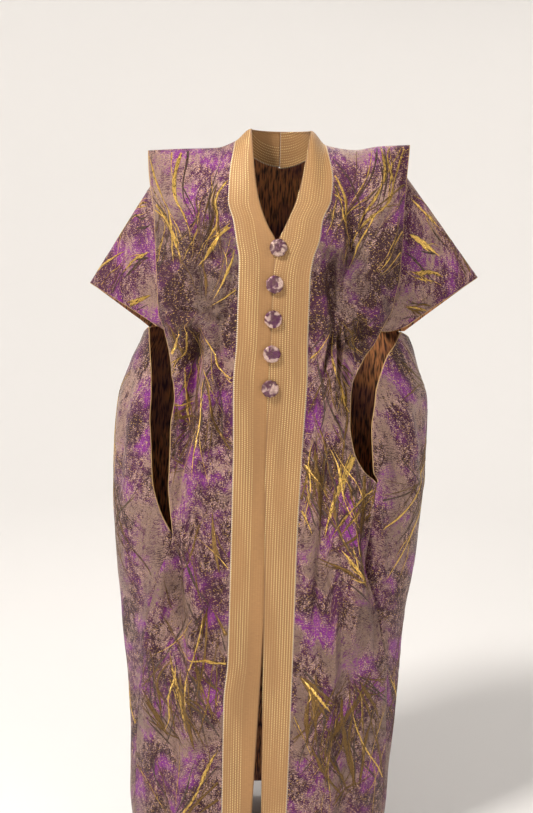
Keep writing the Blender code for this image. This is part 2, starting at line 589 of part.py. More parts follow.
def make_sleeve(side, material):
    """A sleeve: a folded square of cloth from its line under the cap out to the slanting hem."""
    cut = SLEEVES[side]
    fold = []
    for reach in SLEEVE_ALONG:
        x = cut.head_x + (cut.tip_x - cut.head_x) * reach
        z = cut.head_z + (cut.tip_z - cut.head_z) * reach
        fold.append(Vector((side * x + LEAN * z, 0.0, z)))
    front, back = sleeve_half(side, True), sleeve_half(side, False)
    grid = front[::-1] + [fold] + back
    if side == RIGHT:
        grid = [line[::-1] for line in grid]
    name = "sleeve_left" if side == LEFT else "sleeve_right"
    return cloth_wall(name, grid, BROCADE, material, lambda row, column: None)


def make_button(number, z, material):
    """A covered button: a low dome with a shallow back, lying on the right band."""
    x = read_table(BAND_INNER[RIGHT], "z", "x", z) + BUTTON_FROM_EDGE
    side = LEFT if x < 0.0 else RIGHT
    turn = turn_at(side, x, z)
    outward = -hang_inward(side, turn, z)
    seat = hang_point(side, turn, z) + outward * (SEAM + BUTTON_BACK)
    bm = bmesh.new()
    bmesh.ops.create_uvsphere(bm, u_segments=18, v_segments=10, radius=1.0)
    radius = BUTTON_ACROSS / 2
    for vert in bm.verts:
        height = vert.co.z * (BUTTON_DOME if vert.co.z > 0.0 else BUTTON_BACK)
        vert.co = Vector((vert.co.x * radius, vert.co.y * radius, height))
    facing = outward.to_track_quat("Z", "Y").to_matrix().to_4x4()
    bmesh.ops.transform(bm, matrix=Matrix.Translation(seat) @ facing, verts=bm.verts[:])
    return finish_mesh(f"button_{number}", bm, material)


def make_material(name, color, roughness, metallic):
    material = bpy.data.materials.new(name)
    material.use_nodes = True
    shader = material.node_tree.nodes["Principled BSDF"]
    shader.inputs["Base Color"].default_value = (*color, 1.0)
    shader.inputs["Roughness"].default_value = roughness
    shader.inputs["Metallic"].default_value = metallic
    return material


def main():
    for obj in list(bpy.data.objects):
        bpy.data.objects.remove(obj)
    collection = bpy.data.collections.new("boubou_robe")
    bpy.context.scene.collection.children.link(collection)
    brocade = make_material("brocade", (0.30, 0.17, 0.26), 0.45, 0.15)
    band_cloth = make_material("band_cloth", (0.50, 0.30, 0.13), 0.50, 0.20)
    button_cloth = make_material("button_cloth", (0.36, 0.20, 0.30), 0.40, 0.20)

    for side in (LEFT, RIGHT):
        make_front(side, brocade)
        make_sleeve(side, brocade)
        make_band(side, band_cloth)
    make_back(brocade)
    for number, z in enumerate(BUTTON_HEIGHTS, start=1):
        make_button(number, z, button_cloth)


main()
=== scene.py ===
"""Grand boubou robe: the looks of each piece of a stiff brocade robe as worn.

Metres, +Z up, the front faces -Y. Every sheet of cloth is a thin shell on the form of its solid: a
stack of rounded loops round the wearer, with the main folds and creases given one by one. The woven gold
stems are low strips laid on the finished sheets.
"""

import math
from collections import namedtuple

import bmesh
import bpy
import numpy as np
from mathutils import Matrix, Vector


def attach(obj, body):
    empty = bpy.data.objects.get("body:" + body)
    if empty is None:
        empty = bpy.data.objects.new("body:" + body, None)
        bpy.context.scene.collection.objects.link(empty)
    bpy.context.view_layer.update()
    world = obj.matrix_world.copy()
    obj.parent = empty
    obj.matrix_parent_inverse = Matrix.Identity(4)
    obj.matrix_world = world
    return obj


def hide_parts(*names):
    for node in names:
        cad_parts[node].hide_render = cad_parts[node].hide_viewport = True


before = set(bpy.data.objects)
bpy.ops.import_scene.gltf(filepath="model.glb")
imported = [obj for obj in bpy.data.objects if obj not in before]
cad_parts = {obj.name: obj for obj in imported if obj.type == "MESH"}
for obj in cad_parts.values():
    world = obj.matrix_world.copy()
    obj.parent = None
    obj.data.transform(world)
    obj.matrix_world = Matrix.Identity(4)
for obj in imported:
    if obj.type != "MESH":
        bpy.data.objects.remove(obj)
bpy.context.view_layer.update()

bl_info = {
    "name": "Grand Boubou Robe",
    "version": (1, 0, 0),
    "blender": (4, 5, 0),
    "location": "View3D > Sidebar > Boubou",
    "description": "Builds the cloth, band, buttons and woven gold stems of a grand boubou robe",
    "category": "Add Mesh",
}

LEFT, RIGHT = -1, 1
SIDE_NAME = {LEFT: "left", RIGHT: "right"}

# The hang of the cloth, in the robe's own sizes: heights run down from the shoulder seam
LEAN = 0.018                # the centre line drifts this far across for each metre of height
CAP_FOOT = -0.330
UNDERARM = -0.360
HEM = -1.530
NECK_FALL = 0.115           # how far down the raised neck and shoulder line is felt
SEAM = 0.0003               # space between two sewn edges

Hang = namedtuple("Hang", "z left right front back square")
HANG = [
    Hang(0.000, 0.287, 0.282, 0.0002, 0.0002, 2.00),
    Hang(-0.006, 0.287, 0.281, 0.014, 0.014, 2.00),
    Hang(-0.020, 0.287, 0.280, 0.034, 0.036, 2.00),
    Hang(-0.050, 0.286, 0.279, 0.062, 0.072, 2.02),
    Hang(-0.100, 0.285, 0.278, 0.098, 0.106, 2.06),
    Hang(-0.160, 0.283, 0.277, 0.122, 0.127, 2.10),
    Hang(-0.240, 0.280, 0.278, 0.138, 0.135, 2.20),
    Hang(-0.320, 0.272, 0.276, 0.144, 0.133, 2.30),
    Hang(-0.360, 0.269, 0.277, 0.145, 0.131, 2.35),
    Hang(-0.400, 0.281, 0.292, 0.145, 0.130, 2.40),
    Hang(-0.440, 0.299, 0.305, 0.146, 0.132, 2.40),
    Hang(-0.530, 0.322, 0.325, 0.147, 0.138, 2.40),
    Hang(-0.620, 0.330, 0.331, 0.149, 0.143, 2.40),
    Hang(-0.700, 0.3315, 0.335, 0.152, 0.147, 2.40),
    Hang(-0.800, 0.3288, 0.330, 0.155, 0.150, 2.40),
    Hang(-0.890, 0.324, 0.325, 0.157, 0.153, 2.40),
    Hang(-0.980, 0.310, 0.3135, 0.159, 0.156, 2.40),
    Hang(-1.080, 0.298, 0.3025, 0.161, 0.159, 2.40),
    Hang(-1.180, 0.2885, 0.3015, 0.162, 0.161, 2.40),
    Hang(-1.280, 0.284, 0.2975, 0.163, 0.164, 2.40),
    Hang(-1.380, 0.284, 0.2935, 0.165, 0.167, 2.40),
    Hang(-1.530, 0.280, 0.2940, 0.168, 0.171, 2.40),
]

# Rise of the shoulder line above the seam height, by distance across
Rise = namedtuple("Rise", "x z")
SHOULDER_RISE = [
    Rise(-0.275, -0.009), Rise(-0.200, -0.004), Rise(-0.130, -0.001), Rise(-0.092, 0.013),
    Rise(-0.060, 0.038), Rise(0.060, 0.036), Rise(0.092, 0.008), Rise(0.150, 0.000),
    Rise(0.200, 0.008), Rise(0.270, 0.012),
]

# Outer edge of each front panel: free as the square shoulder cap and the arm slit, then the side seam
Edge = namedtuple("Edge", "z x")
FREE_EDGE = {
    LEFT: [
        Edge(0.000, 0.2680), Edge(-0.060, 0.2625), Edge(-0.105, 0.2540), Edge(-0.183, 0.2450),
        Edge(-0.262, 0.2385), Edge(-0.330, 0.2345), Edge(-0.355, 0.2240), Edge(-0.384, 0.2148),
        Edge(-0.443, 0.1998), Edge(-0.486, 0.1990), Edge(-0.555, 0.2050), Edge(-0.667, 0.2063),
        Edge(-0.721, 0.2023), Edge(-0.780, 0.1950), Edge(-0.855, 0.2101), Edge(-0.940, 0.2314),
        Edge(-1.040, 0.2468), Edge(-1.146, 0.2600), Edge(-1.285, 0.2690), Edge(-1.530, 0.2700),
    ],
    RIGHT: [
        Edge(0.000, 0.2615), Edge(-0.057, 0.2562), Edge(-0.096, 0.2535), Edge(-0.155, 0.2509),
        Edge(-0.253, 0.2488), Edge(-0.282, 0.2432), Edge(-0.314, 0.2370), Edge(-0.337, 0.2237),
        Edge(-0.380, 0.2013), Edge(-0.403, 0.1837), Edge(-0.437, 0.1712), Edge(-0.481, 0.1614),
        Edge(-0.532, 0.1602), Edge(-0.595, 0.1716), Edge(-0.641, 0.1966), Edge(-0.668, 0.2230),
        Edge(-0.702, 0.2190), Edge(-0.836, 0.2204), Edge(-0.983, 0.2541), Edge(-1.130, 0.2750),
        Edge(-1.298, 0.2830), Edge(-1.530, 0.2840),
    ],
}
SLIT_FOOT = {LEFT: -0.780, RIGHT: -0.668}

# Width of the arm slit between the front panel's edge and the back panel's edge
Slit = namedtuple("Slit", "z width")
ARM_SLIT = {
    LEFT: [Slit(-0.360, 0.034), Slit(-0.440, 0.046), Slit(-0.510, 0.044), Slit(-0.590, 0.037),
           Slit(-0.680, 0.030), Slit(-0.740, 0.018), Slit(-0.780, 0.0)],
    RIGHT: [Slit(-0.360, 0.047), Slit(-0.440, 0.046), Slit(-0.490, 0.047), Slit(-0.540, 0.044),
            Slit(-0.600, 0.036), Slit(-0.645, 0.015), Slit(-0.668, 0.0)],
}

# Front band: where its outer edge is sewn to the panel, and the two free inner edges
V_POINT = -0.182
BAND_OUTER = {
    LEFT: [Edge(0.000, 0.0925), Edge(-0.060, 0.1001), Edge(-0.100, 0.1002), Edge(-0.138, 0.0886),
           Edge(-0.176, 0.0812), Edge(-0.214, 0.0745), Edge(-0.270, 0.0738), Edge(-0.370, 0.0740),
           Edge(-0.450, 0.0778), Edge(-0.614, 0.0738), Edge(-0.870, 0.0722), Edge(-1.046, 0.0718),
           Edge(-1.140, 0.0780), Edge(-1.323, 0.0760), Edge(-1.530, 0.0730)],
    RIGHT: [Edge(0.000, 0.0925), Edge(-0.060, 0.1060), Edge(-0.097, 0.1030), Edge(-0.135, 0.0880),
            Edge(-0.173, 0.0830), Edge(-0.211, 0.0715), Edge(-0.250, 0.0670), Edge(-0.367, 0.0675),
            Edge(-0.447, 0.0700), Edge(-0.611, 0.0658), Edge(-0.780, 0.0635), Edge(-1.043, 0.0653),
            Edge(-1.320, 0.0660), Edge(-1.530, 0.0650)],
}
BAND_INNER = {
    LEFT: [Edge(0.000, -0.0600), Edge(-0.070, -0.0475), Edge(-0.110, -0.0350), Edge(-0.145, -0.0200),
           Edge(V_POINT, 0.0005), Edge(-0.230, 0.0105), Edge(-0.400, 0.0095), Edge(-0.600, 0.0070),
           Edge(-0.800, 0.0060), Edge(-1.030, 0.0005), Edge(-1.396, -0.0090), Edge(-1.530, -0.0125)],
    RIGHT: [Edge(0.000, 0.0600), Edge(-0.070, 0.0440), Edge(-0.110, 0.0300), Edge(-0.145, 0.0150),
            Edge(V_POINT, -0.0005), Edge(-0.230, -0.0060), Edge(-0.400, -0.0072), Edge(-0.570, -0.0085),
            Edge(-0.800, -0.0030), Edge(-1.030, 0.0020), Edge(-1.396, 0.0105), Edge(-1.530, 0.0135)],
}
NECK_SEAM = BAND_OUTER[LEFT][0].x
NECK_HALF_WIDTH = 0.0600
UNDERLAP_STEP = 0.0032      # the left band lies this far behind the right one where they cross
NECKLINE_DROP = 0.045       # the back neckline dips this far at its middle
NAPE_DEPTH = 0.060          # how far back the band's upper edge passes behind the neck
NAPE_RISE = 0.034           # and how high
NAPE_TUCK = 0.0012          # the band's lower edge laps this far over the back's neckline
NECK_BLEND = 0.200          # the back's rows are level again this far below the seam
NECK_SHARE = 0.4            # share of the back's half width that meets the band
WING = 0.7                  # the back's sides, as a share of its half width, in columns
UNDERARM_DIP = 0.021        # the back's side starts this much lower right under the sleeve
DIP_BLEND = 0.140           # and is level again this far down

# Sleeves: the wide cloth falls from under each cap as a folded square
Sleeve = namedtuple("Sleeve", "head_x head_z tip_x tip_z front_x front_z back_x back_z")
SLEEVES = {
    LEFT: Sleeve(head_x=0.2190, head_z=-0.012, tip_x=0.3857, tip_z=-0.2790, front_x=0.2400,
                 front_z=-0.3560, back_x=0.2640, back_z=-0.3750),
    RIGHT: Sleeve(head_x=0.2060, head_z=-0.012, tip_x=0.4190, tip_z=-0.2530, front_x=0.2700,
                  front_z=-0.3480, back_x=0.2790, back_z=-0.3740),
}
SLEEVE_FOOT = -0.341        # lowest height at which a sleeve hangs from the panels
SLEEVE_FRONT_DEPTH = 0.058  # the hem's lower corners stand this far before and behind the fold
SLEEVE_BACK_DEPTH = 0.034
SLEEVE_FOLD = 0.0045        # half the thickness of the soft top fold
SLEEVE_FOLD_SHARE = 0.035   # share of its height over which the fold rounds
SLEEVE_SEAT = 0.0027        # how far inside a panel's face a sleeve's inner end lies
SLEEVE_CLEAR = 0.0090       # and how far inside it stays further out
SLEEVE_CLOSING = 1.5        # how quickly the two halves close towards the hem
SLEEVE_SHARE = 2.0 / 3.0    # a sleeve hangs from this share of the front panel's width
BACK_SLEEVE_SHARE = 0.8     # and of the back's half width

BUTTON_ACROSS = 0.0350
BUTTON_DOME = 0.0075
BUTTON_BACK = 0.0025
BUTTON_FROM_EDGE = 0.0040
BUTTON_HEIGHTS = [-0.189, -0.259, -0.327, -0.396, -0.466]

# Main folds, ridges above zero and troughs below, through points across and down
Fold = namedtuple("Fold", "height width path")
FRONT_FOLDS = [
    Fold(-0.013, 0.016, [(-0.136, -0.350), (-0.156, -0.405), (-0.174, -0.540), (-0.188, -0.640)]),
    Fold(0.010, 0.017, [(-0.118, -0.365), (-0.130, -0.450), (-0.140, -0.600), (-0.150, -0.760)]),
    Fold(0.009, 0.016, [(-0.165, -0.340), (-0.187, -0.410), (-0.190, -0.470)]),
    Fold(-0.010, 0.030, [(-0.120, -0.190), (-0.150, -0.270), (-0.150, -0.330)]),
    Fold(0.008, 0.022, [(-0.200, -0.040), (-0.200, -0.180), (-0.195, -0.300)]),
    Fold(0.008, 0.018, [(-0.105, -0.120), (-0.100, -0.220), (-0.115, -0.330)]),
    Fold(0.011, 0.020, [(-0.205, -0.800), (-0.225, -0.900), (-0.240, -1.010), (-0.245, -1.100)]),
    Fold(-0.009, 0.018, [(-0.190, -0.790), (-0.190, -0.900), (-0.205, -1.020)]),
    Fold(-0.016, 0.024, [(0.121, -0.180), (0.126, -0.270), (0.130, -0.330)]),
    Fold(0.010, 0.020, [(0.092, -0.240), (0.100, -0.330), (0.120, -0.450), (0.130, -0.560)]),
    Fold(-0.008, 0.014, [(0.122, -0.330), (0.138, -0.430), (0.150, -0.540)]),
    Fold(0.010, 0.016, [(0.156, -0.300), (0.184, -0.338), (0.212, -0.296)]),
    Fold(-0.010, 0.018, [(0.155, -0.030), (0.152, -0.150), (0.150, -0.290)]),
    Fold(0.010, 0.024, [(0.212, -0.040), (0.215, -0.160), (0.200, -0.270)]),
    Fold(0.012, 0.019, [(0.160, -0.670), (0.190, -0.830), (0.222, -0.980), (0.238, -1.060)]),
    Fold(-0.012, 0.015, [(0.186, -0.720), (0.212, -0.840), (0.244, -0.980), (0.258, -1.080)]),
    Fold(0.010, 0.018, [(0.255, -0.490), (0.288, -0.570), (0.312, -0.640)]),
    Fold(-0.010, 0.018, [(0.235, -0.520), (0.262, -0.600), (0.280, -0.690)]),
    Fold(0.006, 0.030, [(-0.160, -1.080), (-0.150, -1.300), (-0.150, -1.560)]),
    Fold(-0.007, 0.026, [(-0.215, -1.120), (-0.210, -1.300), (-0.210, -1.560)]),
    Fold(0.007, 0.028, [(0.130, -1.020), (0.140, -1.250), (0.150, -1.560)]),
    Fold(-0.007, 0.026, [(0.205, -1.160), (0.205, -1.350), (0.205, -1.560)]),
]
BACK_FOLDS = [
    Fold(-0.012, 0.024, [(-0.130, -0.170), (-0.140, -0.300), (-0.155, -0.450)]),
    Fold(0.011, 0.024, [(-0.190, -0.060), (-0.195, -0.200), (-0.195, -0.330)]),
    Fold(0.011, 0.024, [(-0.090, -0.220), (-0.090, -0.420), (-0.105, -0.640)]),
    Fold(-0.011, 0.022, [(-0.185, -0.420), (-0.195, -0.600), (-0.200, -0.780)]),
    Fold(-0.010, 0.026, [(0.010, -0.200), (0.000, -0.480), (-0.010, -0.760)]),
    Fold(-0.013, 0.024, [(0.125, -0.160), (0.135, -0.300), (0.150, -0.440)]),
    Fold(0.011, 0.024, [(0.195, -0.060), (0.200, -0.190), (0.195, -0.320)]),
    Fold(0.011, 0.024, [(0.085, -0.240), (0.095, -0.430), (0.105, -0.660)]),
    Fold(-0.011, 0.022, [(0.190, -0.400), (0.205, -0.580), (0.210, -0.760)]),
    Fold(0.009, 0.030, [(-0.150, -0.820), (-0.150, -1.100), (-0.155, -1.560)]),
    Fold(-0.009, 0.028, [(-0.070, -0.860), (-0.070, -1.150), (-0.070, -1.560)]),
    Fold(0.009, 0.030, [(0.030, -0.840), (0.030, -1.120), (0.035, -1.560)]),
    Fold(-0.009, 0.028, [(0.110, -0.880), (0.115, -1.150), (0.120, -1.560)]),
    Fold(0.009, 0.028, [(0.190, -0.840), (0.190, -1.100), (0.195, -1.560)]),
]

# At the sides the first number is the distance round from the side line, towards the back
SIDE_FOLDS = {
    LEFT: [
        Fold(-0.010, 0.022, [(-0.050, -0.430), (-0.045, -0.600), (-0.040, -0.760)]),
        Fold(0.009, 0.022, [(0.020, -0.420), (0.025, -0.640), (0.020, -0.850)]),
        Fold(-0.008, 0.022, [(0.075, -0.450), (0.080, -0.700), (0.085, -0.980)]),
        Fold(0.008, 0.022, [(-0.030, -0.900), (-0.030, -1.200), (-0.035, -1.560)]),
        Fold(-0.008, 0.020, [(0.035, -0.980), (0.040, -1.250), (0.040, -1.560)]),
    ],
    RIGHT: [
        Fold(-0.010, 0.020, [(-0.060, -0.500), (-0.035, -0.600), (-0.015, -0.700)]),
        Fold(0.009, 0.020, [(-0.020, -0.430), (0.010, -0.560), (0.025, -0.780)]),
        Fold(-0.008, 0.022, [(0.070, -0.440), (0.075, -0.680), (0.080, -0.940)]),
        Fold(0.007, 0.020, [(-0.020, -0.960), (-0.025, -1.220), (-0.020, -1.560)]),
        Fold(-0.007, 0.022, [(0.050, -1.000), (0.050, -1.260), (0.055, -1.560)]),
    ],
}
SIDE_GIRTH = 0.155          # distance round the side for each radian of turn
FOLD_END = 0.22             # share of a fold's length over which it rises and dies away
SEAM_CALM = 0.060           # folds start to show this far below the shoulder seam and the underarm
BAND_CALM = 0.030           # and this far out from the band's seam
SIDE_CALM = 0.10            # front and back folds end in this last share of the half width
SIDE_REACH = (0.72, 0.86)   # and side folds start between these shares of it

# Creases: the narrower, sharper breaks of the stiff cloth, on top of the folds
FRONT_CREASES = [
    Fold(-0.0125, 0.0086, [(-0.140, -0.335), (-0.160, -0.372), (-0.176, -0.440)]),
    Fold(0.0102, 0.0086, [(-0.148, -0.330), (-0.172, -0.350), (-0.196, -0.362)]),
    Fold(-0.0089, 0.0079, [(-0.142, -0.328), (-0.170, -0.318), (-0.205, -0.322)]),
    Fold(0.0089, 0.0072, [(-0.136, -0.340), (-0.132, -0.400), (-0.124, -0.480)]),
    Fold(-0.0089, 0.0072, [(-0.128, -0.332), (-0.112, -0.368), (-0.100, -0.430)]),
    Fold(0.0077, 0.0072, [(-0.130, -0.322), (-0.108, -0.318), (-0.092, -0.330)]),
    Fold(-0.0102, 0.0100, [(-0.170, -0.560), (-0.186, -0.680), (-0.192, -0.770)]),
    Fold(0.0102, 0.0086, [(-0.176, -0.420), (-0.182, -0.520), (-0.194, -0.640)]),
    Fold(-0.0089, 0.0079, [(-0.196, -0.450), (-0.198, -0.560), (-0.204, -0.690)]),
    Fold(-0.0115, 0.0125, [(-0.194, -0.770), (-0.184, -0.870), (-0.172, -1.040)]),
    Fold(0.0095, 0.0110, [(-0.199, -0.775), (-0.206, -0.870), (-0.216, -1.020)]),
    Fold(-0.0061, 0.0072, [(-0.192, -0.780), (-0.164, -0.830), (-0.140, -0.900)]),
    Fold(-0.0114, 0.0086, [(0.116, -0.210), (0.110, -0.280), (0.118, -0.350)]),
    Fold(0.0102, 0.0086, [(0.128, -0.330), (0.146, -0.400), (0.158, -0.480)]),
    Fold(-0.0102, 0.0079, [(0.124, -0.335), (0.132, -0.420), (0.140, -0.520)]),
    Fold(0.0089, 0.0072, [(0.118, -0.340), (0.118, -0.430), (0.126, -0.540)]),
    Fold(-0.0077, 0.0072, [(0.112, -0.340), (0.104, -0.420), (0.104, -0.500)]),
    Fold(-0.0114, 0.0079, [(0.150, -0.315), (0.182, -0.352), (0.218, -0.312)]),
    Fold(0.0077, 0.0072, [(0.142, -0.318), (0.170, -0.374), (0.196, -0.376)]),
    Fold(-0.0089, 0.0086, [(0.140, -0.300), (0.150, -0.220), (0.162, -0.130)]),
    Fold(0.0077, 0.0086, [(0.132, -0.270), (0.128, -0.190), (0.126, -0.110)]),
    Fold(-0.0115, 0.0125, [(0.206, -0.670), (0.214, -0.780), (0.228, -0.930)]),
    Fold(0.0095, 0.0110, [(0.214, -0.670), (0.236, -0.780), (0.258, -0.910)]),
    Fold(-0.0061, 0.0086, [(0.196, -0.650), (0.168, -0.700), (0.150, -0.780)]),
    Fold(-0.0097, 0.0066, [(0.124, -0.300), (0.108, -0.380), (0.096, -0.470)]),
    Fold(0.0075, 0.0060, [(0.128, -0.310), (0.120, -0.400), (0.114, -0.500)]),
    Fold(-0.0090, 0.0060, [(0.130, -0.312), (0.128, -0.400), (0.124, -0.520)]),
    Fold(0.0075, 0.0055, [(0.134, -0.316), (0.138, -0.410), (0.136, -0.530)]),
    Fold(-0.0090, 0.0060, [(0.136, -0.314), (0.148, -0.400), (0.150, -0.500)]),
    Fold(0.0075, 0.0060, [(0.140, -0.312), (0.160, -0.390), (0.166, -0.450)]),
    Fold(-0.0090, 0.0099, [(-0.196, -0.060), (-0.168, -0.140), (-0.150, -0.240)]),
    Fold(0.0072, 0.0088, [(-0.150, -0.040), (-0.146, -0.120), (-0.138, -0.230)]),
    Fold(-0.0072, 0.0088, [(-0.112, -0.060), (-0.122, -0.140), (-0.130, -0.240)]),
    Fold(-0.0084, 0.0099, [(0.190, -0.050), (0.176, -0.140), (0.164, -0.260)]),
    Fold(0.0072, 0.0099, [(0.236, -0.060), (0.222, -0.160), (0.200, -0.250)]),
    Fold(-0.0072, 0.0099, [(-0.110, -0.840), (-0.120, -0.980), (-0.124, -1.160)]),
    Fold(0.0066, 0.0099, [(-0.142, -0.900), (-0.150, -1.060), (-0.150, -1.250)]),
    Fold(-0.0072, 0.0110, [(0.112, -0.700), (0.110, -0.880), (0.104, -1.050)]),
    Fold(0.0066, 0.0099, [(0.150, -0.860), (0.150, -1.000), (0.156, -1.180)]),
    Fold(-0.0110, 0.0150, [(-0.150, -0.345), (-0.166, -0.430), (-0.172, -0.540)]),
    Fold(-0.0110, 0.0110, [(-0.142, -0.306), (-0.134, -0.326), (-0.128, -0.350)]),
    Fold(0.0080, 0.0130, [(-0.126, -0.346), (-0.118, -0.450), (-0.120, -0.620)]),
    Fold(-0.0080, 0.0130, [(-0.112, -0.350), (-0.100, -0.470), (-0.096, -0.640)]),
    Fold(-0.0090, 0.0130, [(-0.128, -0.300), (-0.112, -0.230), (-0.108, -0.150)]),
    Fold(-0.0110, 0.0150, [(0.118, -0.200), (0.122, -0.260), (0.128, -0.320)]),
    Fold(0.0085, 0.0120, [(0.106, -0.300), (0.100, -0.400), (0.106, -0.560)]),
    Fold(-0.0085, 0.0120, [(0.150, -0.340), (0.166, -0.430), (0.172, -0.520)]),
    Fold(-0.0100, 0.0130, [(0.148, -0.330), (0.182, -0.366), (0.214, -0.330)]),
    Fold(-0.0085, 0.0150, [(0.110, -0.560), (0.118, -0.700), (0.124, -0.860)]),
    Fold(0.0085, 0.0140, [(-0.172, -0.830), (-0.150, -0.960), (-0.140, -1.120)]),
    Fold(0.0085, 0.0140, [(0.186, -0.760), (0.190, -0.900), (0.186, -1.080)]),
    Fold(-0.0080, 0.0150, [(0.158, -1.060), (0.164, -1.200), (0.166, -1.380)]),
    Fold(-0.0080, 0.0150, [(-0.176, -1.100), (-0.178, -1.240), (-0.182, -1.420)]),
    Fold(-0.0085, 0.0150, [(-0.130, -0.560), (-0.140, -0.700), (-0.146, -0.840)]),
]
BACK_CREASES = [
    Fold(-0.0068, 0.0091, [(-0.140, -0.300), (-0.150, -0.380), (-0.170, -0.470)]),
    Fold(0.0059, 0.0078, [(-0.120, -0.320), (-0.110, -0.420), (-0.120, -0.520)]),
    Fold(-0.0059, 0.0078, [(-0.060, -0.160), (-0.064, -0.260), (-0.056, -0.380)]),
    Fold(0.0051, 0.0078, [(-0.020, -0.240), (-0.030, -0.360), (-0.024, -0.500)]),
    Fold(-0.0068, 0.0091, [(0.140, -0.290), (0.152, -0.380), (0.168, -0.480)]),
    Fold(0.0059, 0.0078, [(0.116, -0.330), (0.112, -0.430), (0.122, -0.540)]),
    Fold(-0.0059, 0.0078, [(0.058, -0.180), (0.062, -0.280), (0.052, -0.400)]),
    Fold(-0.0051, 0.0091, [(-0.170, -0.560), (-0.184, -0.680), (-0.190, -0.820)]),
    Fold(-0.0051, 0.0091, [(0.176, -0.540), (0.188, -0.660), (0.194, -0.800)]),
    Fold(0.0051, 0.0091, [(0.020, -0.620), (0.014, -0.760), (0.020, -0.900)]),
]
CREASE_END = 0.35           # creases fade out over this share of their length


class BoubouCloth(bpy.types.PropertyGroup):
    """Sizes of the sheets of cloth."""

    wall: bpy.props.FloatProperty(
        name="Wall", description="Thickness of a turned edge of the brocade",
        default=0.0020, min=0.0008, max=0.003, unit="LENGTH", precision=4)
    band_wall: bpy.props.FloatProperty(
        name="Band Wall", description="Thickness of the two-layer front band",
        default=0.0026, min=0.001, max=0.004, unit="LENGTH", precision=4)
    grain: bpy.props.FloatProperty(
        name="Grid Step", description="Distance between the rows of a sheet's mesh",
        default=0.0044, min=0.003, max=0.02, unit="LENGTH", precision=4)
    ripple: bpy.props.FloatProperty(
        name="Ripple", description="Height of the slight unevenness of the hanging cloth",
        default=0.0011, min=0.0, max=0.004, unit="LENGTH", precision=4)


class BoubouColours(bpy.types.PropertyGroup):
    """Colours of the threads."""

    ground: bpy.props.FloatVectorProperty(
        name="Ground", description="Rose taupe satin ground of the brocade",
        subtype="COLOR", default=(0.305, 0.190, 0.152), min=0.0, max=1.0)
    deep: bpy.props.FloatVectorProperty(
        name="Deep Purple", description="Dark purple of the woven speckle",
        subtype="COLOR", default=(0.078, 0.011, 0.056), min=0.0, max=1.0)
    vivid: bpy.props.FloatVectorProperty(
        name="Vivid Purple", description="Bright purple at the heart of the speckled patches",
        subtype="COLOR", default=(0.225, 0.026, 0.235), min=0.0, max=1.0)
    lilac: bpy.props.FloatVectorProperty(
        name="Lilac", description="Pale lilac between the purple specks",
        subtype="COLOR", default=(0.360, 0.165, 0.200), min=0.0, max=1.0)
    umber: bpy.props.FloatVectorProperty(
        name="Umber", description="Dark brown outline thread",
        subtype="COLOR", default=(0.062, 0.028, 0.017), min=0.0, max=1.0)
    gold: bpy.props.FloatVectorProperty(
        name="Gold", description="Metal thread of the woven stems",
        subtype="COLOR", default=(0.780, 0.500, 0.130), min=0.0, max=1.0)
    # the stems' bronze is painted shade: the metal thread where it does not catch the light
    bronze: bpy.props.FloatVectorProperty(
        name="Bronze", description="Duller metal thread of the woven stems",
        subtype="COLOR", default=(0.190, 0.108, 0.036), min=0.0, max=1.0)
    band: bpy.props.FloatVectorProperty(
        name="Band", description="Tan cloth of the front band",
        subtype="COLOR", default=(0.380, 0.195, 0.070), min=0.0, max=1.0)


class BoubouStage(bpy.types.PropertyGroup):
    """The floor, lights and camera."""

    floor_gap: bpy.props.FloatProperty(
        name="Floor Gap", description="Height of the hem above the floor",
        default=0.030, min=0.0, max=0.3, unit="LENGTH")
    floor_colour: bpy.props.FloatVectorProperty(
        name="Floor Colour", description="Pale colour of the floor and its rising edge",
        subtype="COLOR", default=(0.860, 0.850, 0.840), min=0.0, max=1.0)
    lens: bpy.props.FloatProperty(
        name="Lens", description="Focal length of the camera",
        default=49.0, min=20.0, max=120.0, unit="CAMERA")
    distance: bpy.props.FloatProperty(
        name="Distance", description="Distance of the camera from the shoulders",
        default=2.30, min=1.0, max=6.0, unit="LENGTH")


def clamp01(value):
    return np.clip(value, 0.0, 1.0)


def ease(value):
    """Smooth step from 0 to 1."""
    t = clamp01(value)
    return t * t * (3.0 - 2.0 * t)


def read_table(rows, key, column, at):
    """Smooth values of one column of a table whose key runs up or down, without overshoot."""
    keys = np.array([getattr(row, key) for row in rows])
    values = np.array([getattr(row, column) for row in rows])
    if keys[0] > keys[-1]:
        keys, values = keys[::-1], values[::-1]
    at = np.clip(at, keys[0], keys[-1])
    step = np.diff(keys)
    slope = np.diff(values) / step
    before, after = slope[:-1], slope[1:]
    together = np.where(before * after > 0.0, before + after, 1.0)
    inner = np.where(before * after > 0.0, 2.0 * before * after / together, 0.0)
    tangent = np.concatenate(([slope[0]], inner, [slope[-1]]))
    i = np.clip(np.searchsorted(keys, at, side="right") - 1, 0, len(step) - 1)
    t = (at - keys[i]) / step[i]
    return (values[i] * (1 + 2 * t) * (1 - t) ** 2 + values[i + 1] * t * t * (3 - 2 * t)
            + tangent[i] * step[i] * t * (1 - t) ** 2 - tangent[i + 1] * step[i] * t * t * (1 - t))


def of_side(side, tables, key, column, at):
    """Values from the left or the right table, by the side of each place."""
    left = read_table(tables[LEFT], key, column, at)
    right = read_table(tables[RIGHT], key, column, at)
    return np.where(side < 0, left, right)


def half_width(side, z):
    return np.where(side < 0, read_table(HANG, "z", "left", z), read_table(HANG, "z", "right", z))


def turn_at(side, x, z):
    """Turn on the front half of the loop at a distance across, from 0 to 90 degrees."""
    square = read_table(HANG, "z", "square", z)
    return np.arcsin(clamp01(np.abs(x) / half_width(side, z)) ** (square / 2.0))


